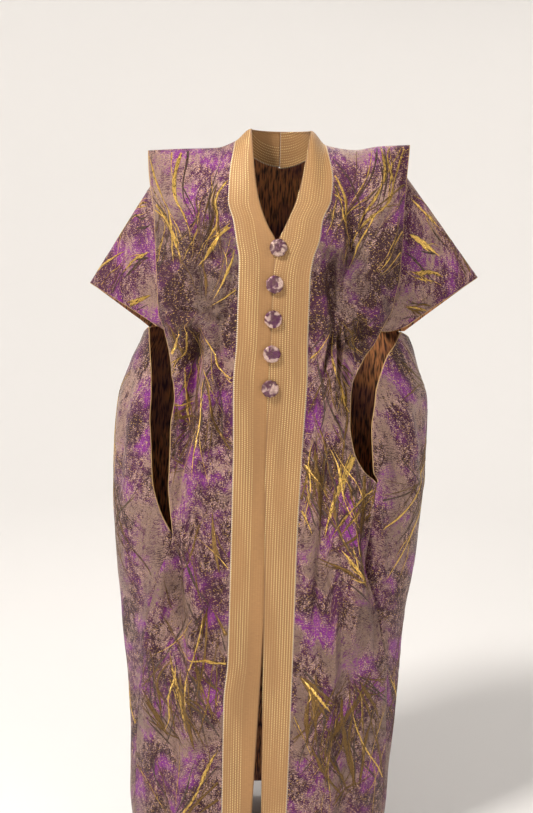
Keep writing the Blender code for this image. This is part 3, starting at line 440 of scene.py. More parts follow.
def wing_edge(side, z):
    """Front edge of the back panel's side: across the arm slit, or sewn to the front panel."""
    slit = of_side(side, ARM_SLIT, "z", "width", z)
    return of_side(side, FREE_EDGE, "z", "x", z) + slit + SEAM


def relief(folds, x, z, end, sharp=False):
    """Sum of the folds at each place, each fading out at both its ends."""
    total = np.zeros(np.broadcast(x, z).shape)
    for fold in folds:
        lengths = [math.dist(a, b) for a, b in zip(fold.path, fold.path[1:])]
        best = np.full(total.shape, 1e9)
        where = np.zeros(total.shape)
        run = 0.0
        for (x0, z0), (x1, z1), length in zip(fold.path, fold.path[1:], lengths):
            t = clamp01(((x - x0) * (x1 - x0) + (z - z0) * (z1 - z0)) / length ** 2)
            distance = np.hypot(x - x0 - t * (x1 - x0), z - z0 - t * (z1 - z0))
            where = np.where(distance < best, (run + t * length) / sum(lengths), where)
            best = np.minimum(best, distance)
            run += length
        ends = ease(where / end) * ease((1.0 - where) / end)
        reach = best / fold.width
        profile = 1.0 / (1.0 + reach ** 2) ** 2 if sharp else np.exp(-reach ** 2)
        total += fold.height * ends * profile
    return total


def unevenness(a, z):
    """A slight wandering of the cloth, from a few long waves that don't line up."""
    waves = [(23.0, 9.0, 0.4), (-31.0, 14.0, 1.9), (47.0, 21.0, 3.1), (12.0, -27.0, 5.2),
             (64.0, -33.0, 0.9), (-83.0, 46.0, 2.2)]
    total = 0.0
    for across, down, phase in waves:
        total = total + np.sin(across * a + down * z + phase) * 24.0 / (24.0 + abs(across))
    return total / 2.0


def hang(side, turn, z, neck_open=True, fine=False):
    """Points of the robe's outer face, with the fine creases when asked for."""
    side = np.asarray(side, dtype=float)
    square = read_table(HANG, "z", "square", z)
    in_front = np.cos(turn) > 0.0
    depth = np.where(in_front, read_table(HANG, "z", "front", z), read_table(HANG, "z", "back", z))
    across = np.abs(np.sin(turn)) ** (2.0 / square)
    forward = np.abs(np.cos(turn)) ** (2.0 / square)
    x = side * half_width(side, z) * across
    y = np.where(in_front, -depth, depth) * forward

    calm = ease((1.0 - across) / SIDE_CALM) * ease(-z / SEAM_CALM)
    from_band = np.abs(x) - of_side(side, BAND_OUTER, "z", "x", z)
    front_calm = calm * ease(from_band / BAND_CALM)
    side_start, side_full = SIDE_REACH
    side_calm = ease((across - side_start) / (side_full - side_start)) * ease((UNDERARM - z) / SEAM_CALM)
    round_side = SIDE_GIRTH * (turn - math.pi / 2)
    height = np.where(in_front, relief(FRONT_FOLDS, x, z, FOLD_END) * front_calm,
                      relief(BACK_FOLDS, x, z, FOLD_END) * calm)
    side_height = np.where(side < 0, relief(SIDE_FOLDS[LEFT], round_side, z, FOLD_END),
                           relief(SIDE_FOLDS[RIGHT], round_side, z, FOLD_END))
    height = height + side_height * side_calm
    if fine:
        ripple = bpy.context.scene.boubou_cloth.ripple * unevenness(side * turn * SIDE_GIRTH * 2.0, z)
        crease = np.where(in_front, relief(FRONT_CREASES, x, z, CREASE_END, sharp=True) * front_calm,
                          relief(BACK_CREASES, x, z, CREASE_END, sharp=True) * calm)
        steady = ease(from_band / BAND_CALM) * ease(-z / SEAM_CALM)
        height = height + crease + ripple * np.where(in_front, steady, ease(-z / SEAM_CALM))
    x = x + side * np.sin(turn) * height
    y = y - np.cos(turn) * height

    line_x = x if neck_open else side * np.maximum(np.abs(x), NECK_SEAM)
    rise = read_table(SHOULDER_RISE, "x", "z", line_x) * ease(1.0 + z / NECK_FALL)
    height = z + rise
    return np.stack([x + LEAN * height, y, height + 0.0 * x], axis=-1)


def wall_direction(side, turn, z, neck_open=True):
    """Unit directions from the outer face to the inner one."""
    step = 0.01
    around = (hang(side, np.minimum(turn + step, math.pi), z, neck_open)
              - hang(side, np.maximum(turn - step, 0.0), z, neck_open))
    down = hang(side, turn, z - 0.002, neck_open) - hang(side, turn, np.minimum(z + 0.002, 0.0), neck_open)
    normal = np.cross(around, down)
    normal /= np.linalg.norm(normal, axis=-1, keepdims=True)
    away = normal[..., 0] * side * np.sin(turn) - normal[..., 1] * np.cos(turn) + 0.2 * normal[..., 2]
    return -normal * np.sign(away)[..., None]


def back_edge_turn(side, z):
    """Turn of the back panel's own cap edge, which runs on down as an inner line of the panel."""
    level = np.maximum(z, UNDERARM)
    edge = of_side(side, FREE_EDGE, "z", "x", np.maximum(level, CAP_FOOT))
    return math.pi - turn_at(side, edge, level)


def back_spot(share, z):
    """Side, turn and height of places on the back panel. The share runs from -1 to 1 between the two
    cap edges, and on past them round the sides."""
    side = np.where(share < 0.0, LEFT, RIGHT)
    out = np.abs(share)
    reach = math.pi - back_edge_turn(side, z)
    neck = turn_at(side, NECK_SEAM + SEAM, 0.0)
    beyond = neck + (reach - neck) * (out - NECK_SHARE) / (1.0 - NECK_SHARE)
    spread = np.where(out <= NECK_SHARE, neck * out / NECK_SHARE, beyond)
    gather = ease(1.0 + z / NECK_BLEND)
    turn = math.pi - (spread * gather + reach * np.minimum(out, 1.0) * (1.0 - gather))
    across = half_width(side, z) * np.abs(np.sin(turn)) ** (2.0 / read_table(HANG, "z", "square", z))
    sag = NECKLINE_DROP * np.maximum(0.0, 1.0 - (across / (NECK_SEAM + SEAM)) ** 2) * gather
    wing = clamp01((out - 1.0) / WING)
    front = turn_at(side, wing_edge(side, z), z)
    wing_turn = back_edge_turn(side, z) + (front - back_edge_turn(side, z)) * wing
    dip = UNDERARM_DIP * np.sin(math.pi * wing) * ease(1.0 - (UNDERARM - z) / DIP_BLEND)
    on_wing = out > 1.0
    return side, np.where(on_wing, wing_turn, turn), np.where(on_wing, z - dip, z - sag)


# A sheet of cloth laid out: places in space, distances across and down it, and from its free edges
Sheet = namedtuple("Sheet", "name places across down rim kept")


def lengths_along(places, axis):
    """Distances along the rows or the columns of a sheet, from its first place."""
    steps = np.linalg.norm(np.diff(places, axis=axis), axis=-1)
    return np.insert(np.cumsum(steps, axis=axis), 0, 0.0, axis=axis)


def fine_rows(upper, lower, step):
    """Heights from one level to another, closer together near the shoulder fold."""
    near_fold = [z for z in (0.0, -0.0015, -0.0035, -0.006, -0.009, -0.0125, -0.0165) if upper >= z > lower]
    start = min(upper, -0.0205)
    count = max(2, round((start - lower) / step))
    return np.array(near_fold + list(np.linspace(start, lower, count + 1)))


def direction_out(places):
    """Outward directions over a sheet, from its rows and columns."""
    across = np.gradient(places, axis=1)
    down = np.gradient(places, axis=0)
    normal = np.cross(down, across)
    normal /= np.maximum(np.linalg.norm(normal, axis=-1, keepdims=True), 1e-12)
    return normal


TURNING = 0.0060            # the cloth is thicker this far in from a free edge, where it is turned


def sheet_object(sheet, wall, materials, thin=0.62):
    """The shell of a sheet: a grid mesh shaped to its places, with a wall and thicker turned edges."""
    rows, columns = sheet.across.shape
    bm = bmesh.new()
    bmesh.ops.create_grid(bm, x_segments=columns - 1, y_segments=rows - 1, size=1.0)
    mesh = bpy.data.meshes.new(sheet.name)
    bm.to_mesh(mesh)
    bm.free()
    plan = np.empty(len(mesh.vertices) * 3)
    mesh.vertices.foreach_get("co", plan)
    plan = plan.reshape(-1, 3)
    column = np.rint((plan[:, 0] + 1.0) / 2.0 * (columns - 1)).astype(int)
    row = np.rint((1.0 - plan[:, 1]) / 2.0 * (rows - 1)).astype(int)
    mesh.vertices.foreach_set("co", sheet.places[row, column].ravel())

    corner = np.empty(len(mesh.loops), dtype=int)
    mesh.loops.foreach_get("vertex_index", corner)
    flat = np.stack([sheet.across[row, column], -sheet.down[row, column]], axis=-1)
    layer = mesh.uv_layers.new(name="cloth")
    layer.uv.foreach_set("vector", flat[corner].ravel())
    rim = mesh.attributes.new("rim", "FLOAT", "POINT")
    rim.data.foreach_set("value", sheet.rim[row, column])

    if not sheet.kept.all():
        bm = bmesh.new()
        bm.from_mesh(mesh)
        bm.verts.ensure_lookup_table()
        kept = sheet.kept[row, column]
        spare = [face for face in bm.faces if not all(kept[vert.index] for vert in face.verts)]
        bmesh.ops.delete(bm, geom=spare, context="FACES")
        bm.to_mesh(mesh)
        bm.free()

    for material in materials:
        mesh.materials.append(material)
    mesh.shade_smooth()
    piece = bpy.data.objects.new(sheet.name, mesh)
    bpy.context.scene.collection.objects.link(piece)

    edge = piece.vertex_groups.new(name="turned_edge")
    near = np.empty(len(mesh.vertices))
    mesh.attributes["rim"].data.foreach_get("value", near)
    for index in np.flatnonzero(near < TURNING):
        edge.add([int(index)], float(1.0 - ease(near[index] / TURNING)), "REPLACE")
    thick = piece.modifiers.new("wall", "SOLIDIFY")
    thick.thickness = wall
    thick.offset = -1.0
    thick.use_even_offset = False
    thick.vertex_group = edge.name
    thick.thickness_vertex_group = thin
    thick.material_offset = 1
    return piece


RIM_LIMIT = 0.0500          # distances from the free edges are kept up to this


FRONT_GIRTH = 0.285         # widest distance from the band's seam to a front panel's outer edge


def front_sheet(side):
    """One front panel, from the band's seam out to the cap, the arm slit and the side seam."""
    step = bpy.context.scene.boubou_cloth.grain
    rows = fine_rows(0.0, HEM, step)
    columns = round(FRONT_GIRTH / (step * 0.62))
    z = rows[:, None]
    share = np.linspace(0.0, 1.0, columns + 1)[None, :]
    inner = turn_at(side, of_side(side, BAND_OUTER, "z", "x", z) + SEAM, z)
    outer = turn_at(side, of_side(side, FREE_EDGE, "z", "x", z), z)
    turn = inner + (outer - inner) * share
    places = hang(side, turn, z + 0.0 * turn, fine=True)
    across = lengths_along(places, 1)
    down = lengths_along(places, 0)
    from_edge = np.where(z > SLIT_FOOT[side], across[:, -1:] - across, RIM_LIMIT)
    rim = np.minimum(np.minimum(from_edge, down[-1:] - down), RIM_LIMIT)
    if side == LEFT:
        places, across, down, rim = (part[:, ::-1] for part in (places, across, down, rim))
        across = -across
    return Sheet(f"front_{SIDE_NAME[side]}_cloth", places, across, down, rim, np.full(rim.shape, True))


BACK_PATTERN = 3.0          # the back is cut from another stretch of the cloth's pattern


def back_sheet():
    """The back panel, with its own cap edges, and its sides brought round to the arm slits."""
    step = bpy.context.scene.boubou_cloth.grain * 1.32
    upper = fine_rows(0.0, UNDERARM, step)
    lower = fine_rows(UNDERARM, HEM, step)[1:]
    z = np.concatenate([upper, lower])[:, None]
    main = np.linspace(-1.0, 1.0, 2 * round(0.29 / step) + 1)
    wing = 1.0 + np.linspace(0.0, WING, round(0.235 / step) + 1)[1:]
    share = np.concatenate([-wing[::-1], main, wing])[None, :]
    side, turn, height = back_spot(share + 0.0 * z, z + 0.0 * share)
    places = hang(side, turn, height, neck_open=False, fine=True)
    middle = share.shape[1] // 2
    across = lengths_along(places, 1)
    across = across - across[:, middle:middle + 1]
    down = lengths_along(places, 0)
    kept = (z <= UNDERARM + 1e-6) | (np.abs(share) <= 1.0 + 1e-6)
    cap = np.abs(np.where(np.abs(share) <= 1.0, across, 0.0)).max(axis=1)[:, None]
    from_cap = np.where(z >= UNDERARM, cap - np.abs(across), RIM_LIMIT)
    slit = of_side(side, {LEFT: ARM_SLIT[LEFT], RIGHT: ARM_SLIT[RIGHT]}, "z", "width", z + 0.0 * share)
    edge = np.where(share < 0.0, across - across[:, :1], across[:, -1:] - across)
    from_slit = np.where(slit > 0.001, edge, RIM_LIMIT)
    under = np.where(np.abs(share) > 1.0, down - down[upper.size - 1][None, :], RIM_LIMIT)
    rim = np.stack([from_cap, from_slit, np.abs(under), down[-1:] - down, np.full(down.shape, RIM_LIMIT)])
    return Sheet("back_cloth", places[:, ::-1], BACK_PATTERN - across[:, ::-1], down[:, ::-1],
                 np.abs(rim).min(axis=0)[:, ::-1], kept[:, ::-1])


def underlap(share, z):
    """How far the left band steps back towards its inner edge, to pass behind the right one."""
    return UNDERLAP_STEP * ease((share - 0.25) / 0.45) * ease((-0.075 - z) / 0.070)


def band_sheet(side):
    """A front band: up the centre front, along the neck and round to the middle of the nape."""
    step = bpy.context.scene.boubou_cloth.grain
    rows = fine_rows(0.0, HEM, step)
    share = np.linspace(0.0, 1.0, 25)[None, :]
    z = rows[:, None]
    outer_x = of_side(side, BAND_OUTER, "z", "x", z) * side
    inner_x = read_table(BAND_INNER[side], "z", "x", z)
    x = outer_x + (inner_x - outer_x) * share
    here = np.where(x < 0.0, LEFT, RIGHT)
    turn = turn_at(here, x, z)
    level = z + 0.0 * turn
    places = hang(here, turn, level)
    if side == LEFT:
        places = places + wall_direction(here, turn, level) * underlap(share, level)[..., None]

    lift = float(read_table(SHOULDER_RISE, "x", "z", side * NECK_HALF_WIDTH))
    bend = np.linspace(0.0, 1.0, 31)[1:]
    spot = back_spot(side * NECK_SHARE * (1.0 - bend), 0.0 * bend)
    outer = hang(np.full(bend.shape, side), spot[1], spot[2], neck_open=False)
    angle = math.pi / 2 * bend
    inner = np.stack([side * NECK_HALF_WIDTH * np.cos(angle), NAPE_DEPTH * np.sin(angle),
                      lift + (NAPE_RISE - lift) * np.sin(angle)], axis=-1)
    inner[:, 0] += LEAN * inner[:, 2] * np.cos(angle)
    outer[-1, 0] = inner[-1, 0] = side * SEAM / 2
    away = outer - inner
    away /= np.linalg.norm(away, axis=-1, keepdims=True)
    outer = outer + away * NAPE_TUCK
    nape = outer[:, None, :] + (inner - outer)[:, None, :] * share[..., None]

    places = np.concatenate([nape[::-1], places])
    across = lengths_along(places, 1)
    down = lengths_along(places, 0)
    rim = np.minimum(np.minimum(across[:, -1:] - across, down[-1:] - down), RIM_LIMIT)
    if side == RIGHT:
        places, across, down, rim = (part[:, ::-1] for part in (places, -across, down, rim))
    return Sheet(f"band_{SIDE_NAME[side]}_cloth", places, across, down, rim, np.full(rim.shape, True))


def sleeve_seat(side, z, front):
    """Where a sleeve hangs from a panel: places just inside the wall."""
    if front:
        inner = turn_at(side, of_side(side, BAND_OUTER, "z", "x", z) + SEAM, z)
        outer = turn_at(side, of_side(side, FREE_EDGE, "z", "x", z), z)
        spot = (side, inner + (outer - inner) * SLEEVE_SHARE, z)
    else:
        spot = back_spot(side * BACK_SLEEVE_SHARE + 0.0 * z, z)
    return hang(*spot, front) + wall_direction(*spot, front) * SLEEVE_SEAT


SLEEVE_SOFT = 0.0030        # height of the sleeve's few soft waves
SLEEVE_SAG = 0.014          # the lower edge sags this much between the panel and the hem's corner
SAG_FROM = 0.6              # the sag begins at this share of the way down


def sleeve_half(side, front, share, reach):
    """Places of one half of a sleeve, from its top fold down and from the panel out to its hem."""
    cut = SLEEVES[side]
    row = cut.head_z + (SLEEVE_FOOT - cut.head_z) * share
    low_x, low_z = (cut.front_x, cut.front_z) if front else (cut.back_x, cut.back_z)
    hem_depth = SLEEVE_FRONT_DEPTH if front else SLEEVE_BACK_DEPTH
    seat = sleeve_seat(side, row, front)
    seat_x = np.abs(seat[..., 0] - LEAN * seat[..., 2])
    hem_x = cut.tip_x + (low_x - cut.tip_x) * share
    hem_z = cut.tip_z + (low_z - cut.tip_z) * share
    x = seat_x + (hem_x - seat_x) * reach
    z = seat[..., 2] + (hem_z - seat[..., 2]) * reach
    z = z - SLEEVE_SAG * ease((share - SAG_FROM) / (1.0 - SAG_FROM)) * np.sin(math.pi * reach)
    closing = (1.0 - reach) ** SLEEVE_CLOSING
    depth = np.abs(seat[..., 1]) * closing + (SLEEVE_FOLD + hem_depth * share) * (1.0 - closing)
    edge = of_side(side, FREE_EDGE, "z", "x", z if front else np.maximum(z, CAP_FOOT))
    turn = turn_at(side, np.minimum(x, edge), z)
    cover = np.abs(hang(side, turn if front else math.pi - turn, z, front)[..., 1]) - SLEEVE_CLEAR
    under_cap = 1.0 - ease((x - edge - 0.006) / 0.030)
    held = np.minimum(depth, cover)
    depth = np.where(reach > 0.0, held * under_cap + depth * (1.0 - under_cap), depth)
    rounding = np.sqrt(1.0 - (1.0 - clamp01(share / SLEEVE_FOLD_SHARE)) ** 2)
    soft = SLEEVE_SOFT * np.sin(13.0 * share + 5.0 * reach + side) * np.sin(math.pi * reach) * share
    depth = np.maximum(depth + soft * ease((reach - 0.25) / 0.2), SLEEVE_FOLD) * rounding
    return np.stack([side * x + LEAN * z, depth * (-1.0 if front else 1.0), z], axis=-1)


SLEEVE_PATTERN = {LEFT: 5.0, RIGHT: 6.0}    # and the sleeves from two more


def sleeve_sheet(side):
    """A sleeve: a folded square of cloth from its line under the cap out to the slanting hem."""
    step = bpy.context.scene.boubou_cloth.grain
    share = np.linspace(0.0, 1.0, round(0.33 / step) + 1) ** 1.25
    reach = np.linspace(0.0, 1.0, round(0.21 / step) + 1)[None, :]
    front = sleeve_half(side, True, share[::-1, None], reach)
    back = sleeve_half(side, False, share[1:, None], reach)
    places = np.concatenate([front, back])
    across = lengths_along(places, 1)
    down = lengths_along(places, 0)
    rim = np.minimum(np.minimum(across[:, -1:] - across, np.minimum(down, down[-1:] - down)), RIM_LIMIT)
    if side == RIGHT:
        places, across, down, rim = (part[:, ::-1] for part in (places, -across, down, rim))
    return Sheet(f"sleeve_{SIDE_NAME[side]}_cloth", places, across + SLEEVE_PATTERN[side], down, rim,
                 np.full(rim.shape, True))


class Graph:
    """Places and links the nodes of one shader tree."""

    def __init__(self, tree):
        self.tree = tree

    def put(self, socket, value):
        if isinstance(value, bpy.types.NodeSocket):
            self.tree.links.new(value, socket)
        else:
            socket.default_value = value

    def node(self, kind, inputs=None, **settings):
        node = self.tree.nodes.new(kind)
        for name, value in settings.items():
            setattr(node, name, value)
        for name, value in (inputs or {}).items():
            self.put(node.inputs[name], value)
        return node

    def math(self, operation, *values):
        node = self.node("ShaderNodeMath", operation=operation)
        for socket, value in zip(node.inputs, values):
            self.put(socket, value)
        return node.outputs[0]

    def mix(self, factor, first, second, kind="MIX"):
        node = self.node("ShaderNodeMix", {0: factor, 6: first, 7: second},
                         data_type="RGBA", blend_type=kind)
        return node.outputs[2]

    def mix_value(self, factor, first, second):
        return self.node("ShaderNodeMix", {0: factor, 2: first, 3: second}, data_type="FLOAT").outputs[0]

    def range(self, value, low, high, to_low=0.0, to_high=1.0):
        """A smooth step of a value from one level to another."""
        limits = {"Value": value, "From Min": low, "From Max": high, "To Min": to_low, "To Max": to_high}
        return self.node("ShaderNodeMapRange", limits, interpolation_type="SMOOTHSTEP").outputs[0]

    def noise(self, vector, scale, detail=2.0, roughness=0.5, distortion=0.0):
        settings = {"Vector": vector, "Scale": scale, "Detail": detail, "Roughness": roughness,
                    "Distortion": distortion}
        return self.node("ShaderNodeTexNoise", settings).outputs["Fac"]

    def place(self, vector, scale=(1.0, 1.0, 1.0), shift=(0.0, 0.0, 0.0), turn=0.0):
        settings = {"Vector": vector, "Scale": scale, "Location": shift, "Rotation": (0.0, 0.0, turn)}
        return self.node("ShaderNodeMapping", settings).outputs[0]


def rgba(colour):
    return (*colour, 1.0)


def new_group(name, inputs, outputs):
    """A shader node group with named inputs and outputs, and its graph and end nodes."""
    tree = bpy.data.node_groups.new(name, "ShaderNodeTree")
    for label, kind, default in inputs:
        socket = tree.interface.new_socket(label, in_out="INPUT", socket_type=f"NodeSocket{kind}")
        if default is not None:
            socket.default_value = default
    for label, kind in outputs:
        tree.interface.new_socket(label, in_out="OUTPUT", socket_type=f"NodeSocket{kind}")
    graph = Graph(tree)
    return tree, graph, graph.node("NodeGroupInput"), graph.node("NodeGroupOutput")


def weave_group():
    """Fine threads across and down, with slubs: a height and a slight change of shade."""
    tree, graph, given, out = new_group(
        "thread_weave",
        [("Vector", "Vector", None), ("Pitch", "Float", 0.0008), ("Slub", "Float", 0.5)],
        [("Height", "Float"), ("Shade", "Float")])
    apart = graph.node("ShaderNodeSeparateXYZ", {"Vector": given.outputs["Vector"]})
    turns = graph.math("DIVIDE", 2.0 * math.pi, given.outputs["Pitch"])
    across = graph.math("SINE", graph.math("MULTIPLY", apart.outputs[0], turns))
    down = graph.math("SINE", graph.math("MULTIPLY", apart.outputs[1], turns))
    threads = graph.math("MULTIPLY_ADD", graph.math("MULTIPLY", across, down), 0.25, 0.5)
    slub = graph.noise(graph.place(given.outputs["Vector"], scale=(90.0, 700.0, 1.0)), 1.0, 2.0)
    height = graph.math("MULTIPLY_ADD", graph.math("MULTIPLY", slub, given.outputs["Slub"]), 1.0, threads)
    graph.put(out.inputs["Height"], height)
    graph.put(out.inputs["Shade"], graph.range(slub, 0.25, 0.75, 0.90, 1.08))
    return tree


# Fixed colours of threads, buttons and floor, then places on the cloth's pattern, where down is negative
PALE_SPECK = (0.72, 0.47, 0.42, 1.0)
DARK_PLUM = (0.036, 0.008, 0.014, 1.0)
# copper of the reverse's floats, painted lighter to stand in for light on the shaded inside
COPPER_WITH_PAINTED_LIGHT = (0.66, 0.27, 0.10, 1.0)
BUTTON_PLUM = (0.075, 0.018, 0.038, 1.0)
# cream painted on the buttons as highlights
PAINTED_BUTTON_HIGHLIGHT = (0.74, 0.54, 0.45, 1.0)
SEAM_THREAD = (0.80, 0.72, 0.60, 1.0)
BAND_GOLD = (0.98, 0.78, 0.38, 1.0)
FLOOR_WEAR = (0.78, 0.77, 0.76, 1.0)
DARK_BELT = (-0.40, -0.30, -0.14, -0.04)    # foot, full stretch and top of the chest's darker belt
DARK_FOOT = (-1.10, -0.60)                  # the ground darkens from the second height to the first
BODY_PATTERN = 4.0                          # sleeves and buttons lie past this, across the pattern
EDGE_STITCH = 0.0072                        # distance of the stitches from a turned edge


def figure_group():
    """The brocade's figure: smooth rose taupe ground, speckled purple patches, a darker belt over the
    chest, crosswise hatching and sparse dark dots. It gives the colour, the purple threads, metal
    flecks and the raised height."""
    tree, graph, given, out = new_group(
        "brocade_figure",
        [("Vector", "Vector", None), ("Ground", "Color", None), ("Deep", "Color", None),
         ("Vivid", "Color", None), ("Lilac", "Color", None), ("Umber", "Color", None)],
        [("Colour", "Color"), ("Purple", "Float"), ("Fleck", "Float"), ("Height", "Float")])
    cloth = given.outputs["Vector"]
    patch = graph.noise(graph.place(cloth, scale=(1.0, 0.62, 1.0)), 9.5, 2.5, 0.6, 0.6)
    heart = graph.noise(graph.place(cloth, shift=(4.2, 1.7, 0.0)), 14.0, 2.0, 0.5, 0.3)
    dense = graph.range(patch, 0.37, 0.55)
    apart = graph.node("ShaderNodeSeparateXYZ", {"Vector": cloth})
    level = graph.math("MULTIPLY_ADD", patch, 0.16, apart.outputs[1])
    foot, full_foot, full_top, top = DARK_BELT
    chest = graph.math("MULTIPLY", graph.range(level, foot, full_foot),
                       graph.range(level, full_top, top, 1.0, 0.0))
    body = graph.range(apart.outputs[0], BODY_PATTERN, BODY_PATTERN + 0.1, 1.0, 0.0)
    chest = graph.math("MULTIPLY", chest, body)
    calm = graph.math("MULTIPLY", body, graph.range(level, -0.16, -0.06, 1.0, 0.45))
    low = graph.range(apart.outputs[1], *DARK_FOOT, 0.70, 1.0)
    solid = graph.range(patch, 0.50, 0.66)
    leaning = graph.place(cloth, scale=(1.0, 0.55, 1.0), shift=(1.3, 7.0, 0.0), turn=0.4)
    clump = graph.noise(leaning, 105.0, 2.0, 0.6)
    speck = graph.noise(graph.place(cloth, scale=(1.0, 1.3, 1.0), shift=(2.9, 0.4, 0.0)), 380.0, 1.0, 0.6)
    mottle = graph.math("MULTIPLY_ADD", clump, 0.48, graph.math("MULTIPLY", speck, 0.52))
    limit = graph.math("SUBTRACT", graph.range(dense, 0.0, 1.0, 0.570, 0.468),
                       graph.math("MULTIPLY", solid, 0.05))
    limit = graph.math("SUBTRACT", limit, graph.math("MULTIPLY", chest, 0.042))
    specks = graph.range(graph.math("SUBTRACT", mottle, limit), -0.006, 0.010)

    hatch_zone = graph.noise(graph.place(cloth, shift=(8.0, 2.0, 0.0)), 13.0, 1.0)
    streak = graph.noise(graph.place(cloth, scale=(75.0, 560.0, 1.0)), 1.0, 1.0)
    hatch = graph.math("MULTIPLY", graph.range(streak, 0.52, 0.59),
                       graph.math("MULTIPLY", graph.range(hatch_zone, 0.48, 0.58), 0.9))
    purple = graph.math("MAXIMUM", specks, hatch)

    bare = graph.range(graph.noise(cloth, 5.0, 1.0), 0.3, 0.7, 0.84, 1.14)
    bare = graph.math("MULTIPLY", graph.math("MULTIPLY", bare, low),
                      graph.range(chest, 0.0, 1.0, 1.0, 0.50))
    bare_ground = graph.node("ShaderNodeVectorMath", {0: given.outputs["Ground"], "Scale": bare},
                             operation="SCALE").outputs[0]
    pale = graph.mix(graph.math("MULTIPLY", dense, 0.35), bare_ground, given.outputs["Lilac"])
    light_speck = graph.noise(graph.place(cloth, shift=(7.7, 1.9, 0.0)), 380.0, 1.0)
    light = graph.math("MULTIPLY", graph.range(light_speck, 0.50, 0.57),
                       graph.range(dense, 0.0, 1.0, 0.10, 0.85))
    pale = graph.mix(light, pale, PALE_SPECK)
    thread = graph.mix(graph.range(heart, 0.44, 0.62), given.outputs["Deep"], given.outputs["Vivid"])
    plum = graph.noise(graph.place(cloth, shift=(0.6, 9.1, 0.0)), 11.0, 1.5)
    dark = graph.math("MULTIPLY", graph.range(plum, 0.43, 0.58, 0.0, 0.95),
                      graph.range(calm, 0.0, 1.0, 0.35, 1.0))
    dark = graph.math("MULTIPLY_ADD", chest, 0.6, dark)
    thread = graph.mix(graph.math("MINIMUM", dark, 1.0), thread, DARK_PLUM)
    colour = graph.mix(purple, pale, thread)
    dark_dot = graph.noise(graph.place(cloth, shift=(3.4, 5.2, 0.0)), 300.0, 1.0)
    dots = graph.math("MULTIPLY", graph.range(dark_dot, 0.63, 0.67), 0.8)
    colour = graph.mix(dots, colour, given.outputs["Umber"])
    fleck_noise = graph.noise(graph.place(cloth, scale=(0.7, 1.5, 1.0), shift=(6.6, 3.3, 0.0)), 330.0, 1.0)
    fleck = graph.math("MULTIPLY", graph.range(fleck_noise, 0.64, 0.68),
                       graph.range(dense, 0.0, 1.0, 0.25, 0.9))
    pucker = graph.noise(cloth, 95.0, 2.5, 0.55, 0.5)
    raised = graph.math("MULTIPLY_ADD", purple, 0.30, graph.math("MULTIPLY", dots, -0.3))
    graph.put(out.inputs["Colour"], colour)
    graph.put(out.inputs["Purple"], purple)
    graph.put(out.inputs["Fleck"], fleck)
    graph.put(out.inputs["Height"], graph.math("MULTIPLY_ADD", pucker, 1.3, raised))
    return tree


def new_material(name):
    """A material with an empty graph, its Principled shader and the cloth's own UV map."""
    material = bpy.data.materials.new(name)
    material.use_nodes = True
    graph = Graph(material.node_tree)
    shader = material.node_tree.nodes["Principled BSDF"]
    cloth = graph.node("ShaderNodeUVMap", uv_map="cloth").outputs[0]
    return material, graph, shader, cloth


def add_group(graph, name, inputs):
    node = graph.node("ShaderNodeGroup", node_tree=bpy.data.node_groups[name])
    for label, value in inputs.items():
        graph.put(node.inputs[label], value)
    return node.outputs


def bump(graph, shader, height, distance, strength=1.0):
    settings = {"Height": height, "Distance": distance, "Strength": strength}
    graph.put(shader.inputs["Normal"], graph.node("ShaderNodeBump", settings).outputs[0])


def figure_inputs(cloth):
    colours = bpy.context.scene.boubou_colours
    return {"Vector": cloth, "Ground": rgba(colours.ground), "Deep": rgba(colours.deep),
            "Vivid": rgba(colours.vivid), "Lilac": rgba(colours.lilac), "Umber": rgba(colours.umber)}


def brocade_material():
    """Outer face of the brocade, with a painted highlight in pale gold along its turned edges."""
    colours = bpy.context.scene.boubou_colours
    material, graph, shader, cloth = new_material("brocade_face")
    figure = add_group(graph, "brocade_figure", figure_inputs(cloth))
    weave = add_group(graph, "thread_weave", {"Vector": cloth, "Pitch": 0.0011, "Slub": 0.6})
    rim = graph.node("ShaderNodeAttribute", attribute_name="rim").outputs["Fac"]
    shaded = graph.node("ShaderNodeVectorMath", {0: figure["Colour"], "Scale": weave["Shade"]},
                        operation="SCALE").outputs[0]
    flecked = graph.mix(figure["Fleck"], shaded, rgba(colours.gold))
    # painted highlight: a pale gold line along the outermost millimetre of each turned edge
    edge_highlight = graph.range(rim, 0.0009, 0.0016, 1.0, 0.0)
    edge_highlight_colour = graph.mix(0.45, rgba(colours.ground), rgba(colours.gold))
    graph.put(shader.inputs["Base Color"], graph.mix(edge_highlight, flecked, edge_highlight_colour))
    satin = graph.range(figure["Purple"], 0.0, 1.0, 0.30, 0.42)
    graph.put(shader.inputs["Roughness"], graph.mix_value(figure["Fleck"], satin, 0.30))
    graph.put(shader.inputs["Metallic"], figure["Fleck"])
    from_stitch = graph.math("ABSOLUTE", graph.math("SUBTRACT", rim, EDGE_STITCH))
    stitch = graph.range(from_stitch, 0.0003, 0.0009, -1.6, 0.0)
    height = graph.math("ADD", graph.math("MULTIPLY", weave["Height"], 0.35), figure["Height"])
    bump(graph, shader, graph.math("ADD", height, stitch), 0.0014, 0.9)
    shader.inputs["Sheen Weight"].default_value = 0.03
    shader.inputs["Specular IOR Level"].default_value = 0.25
    return material


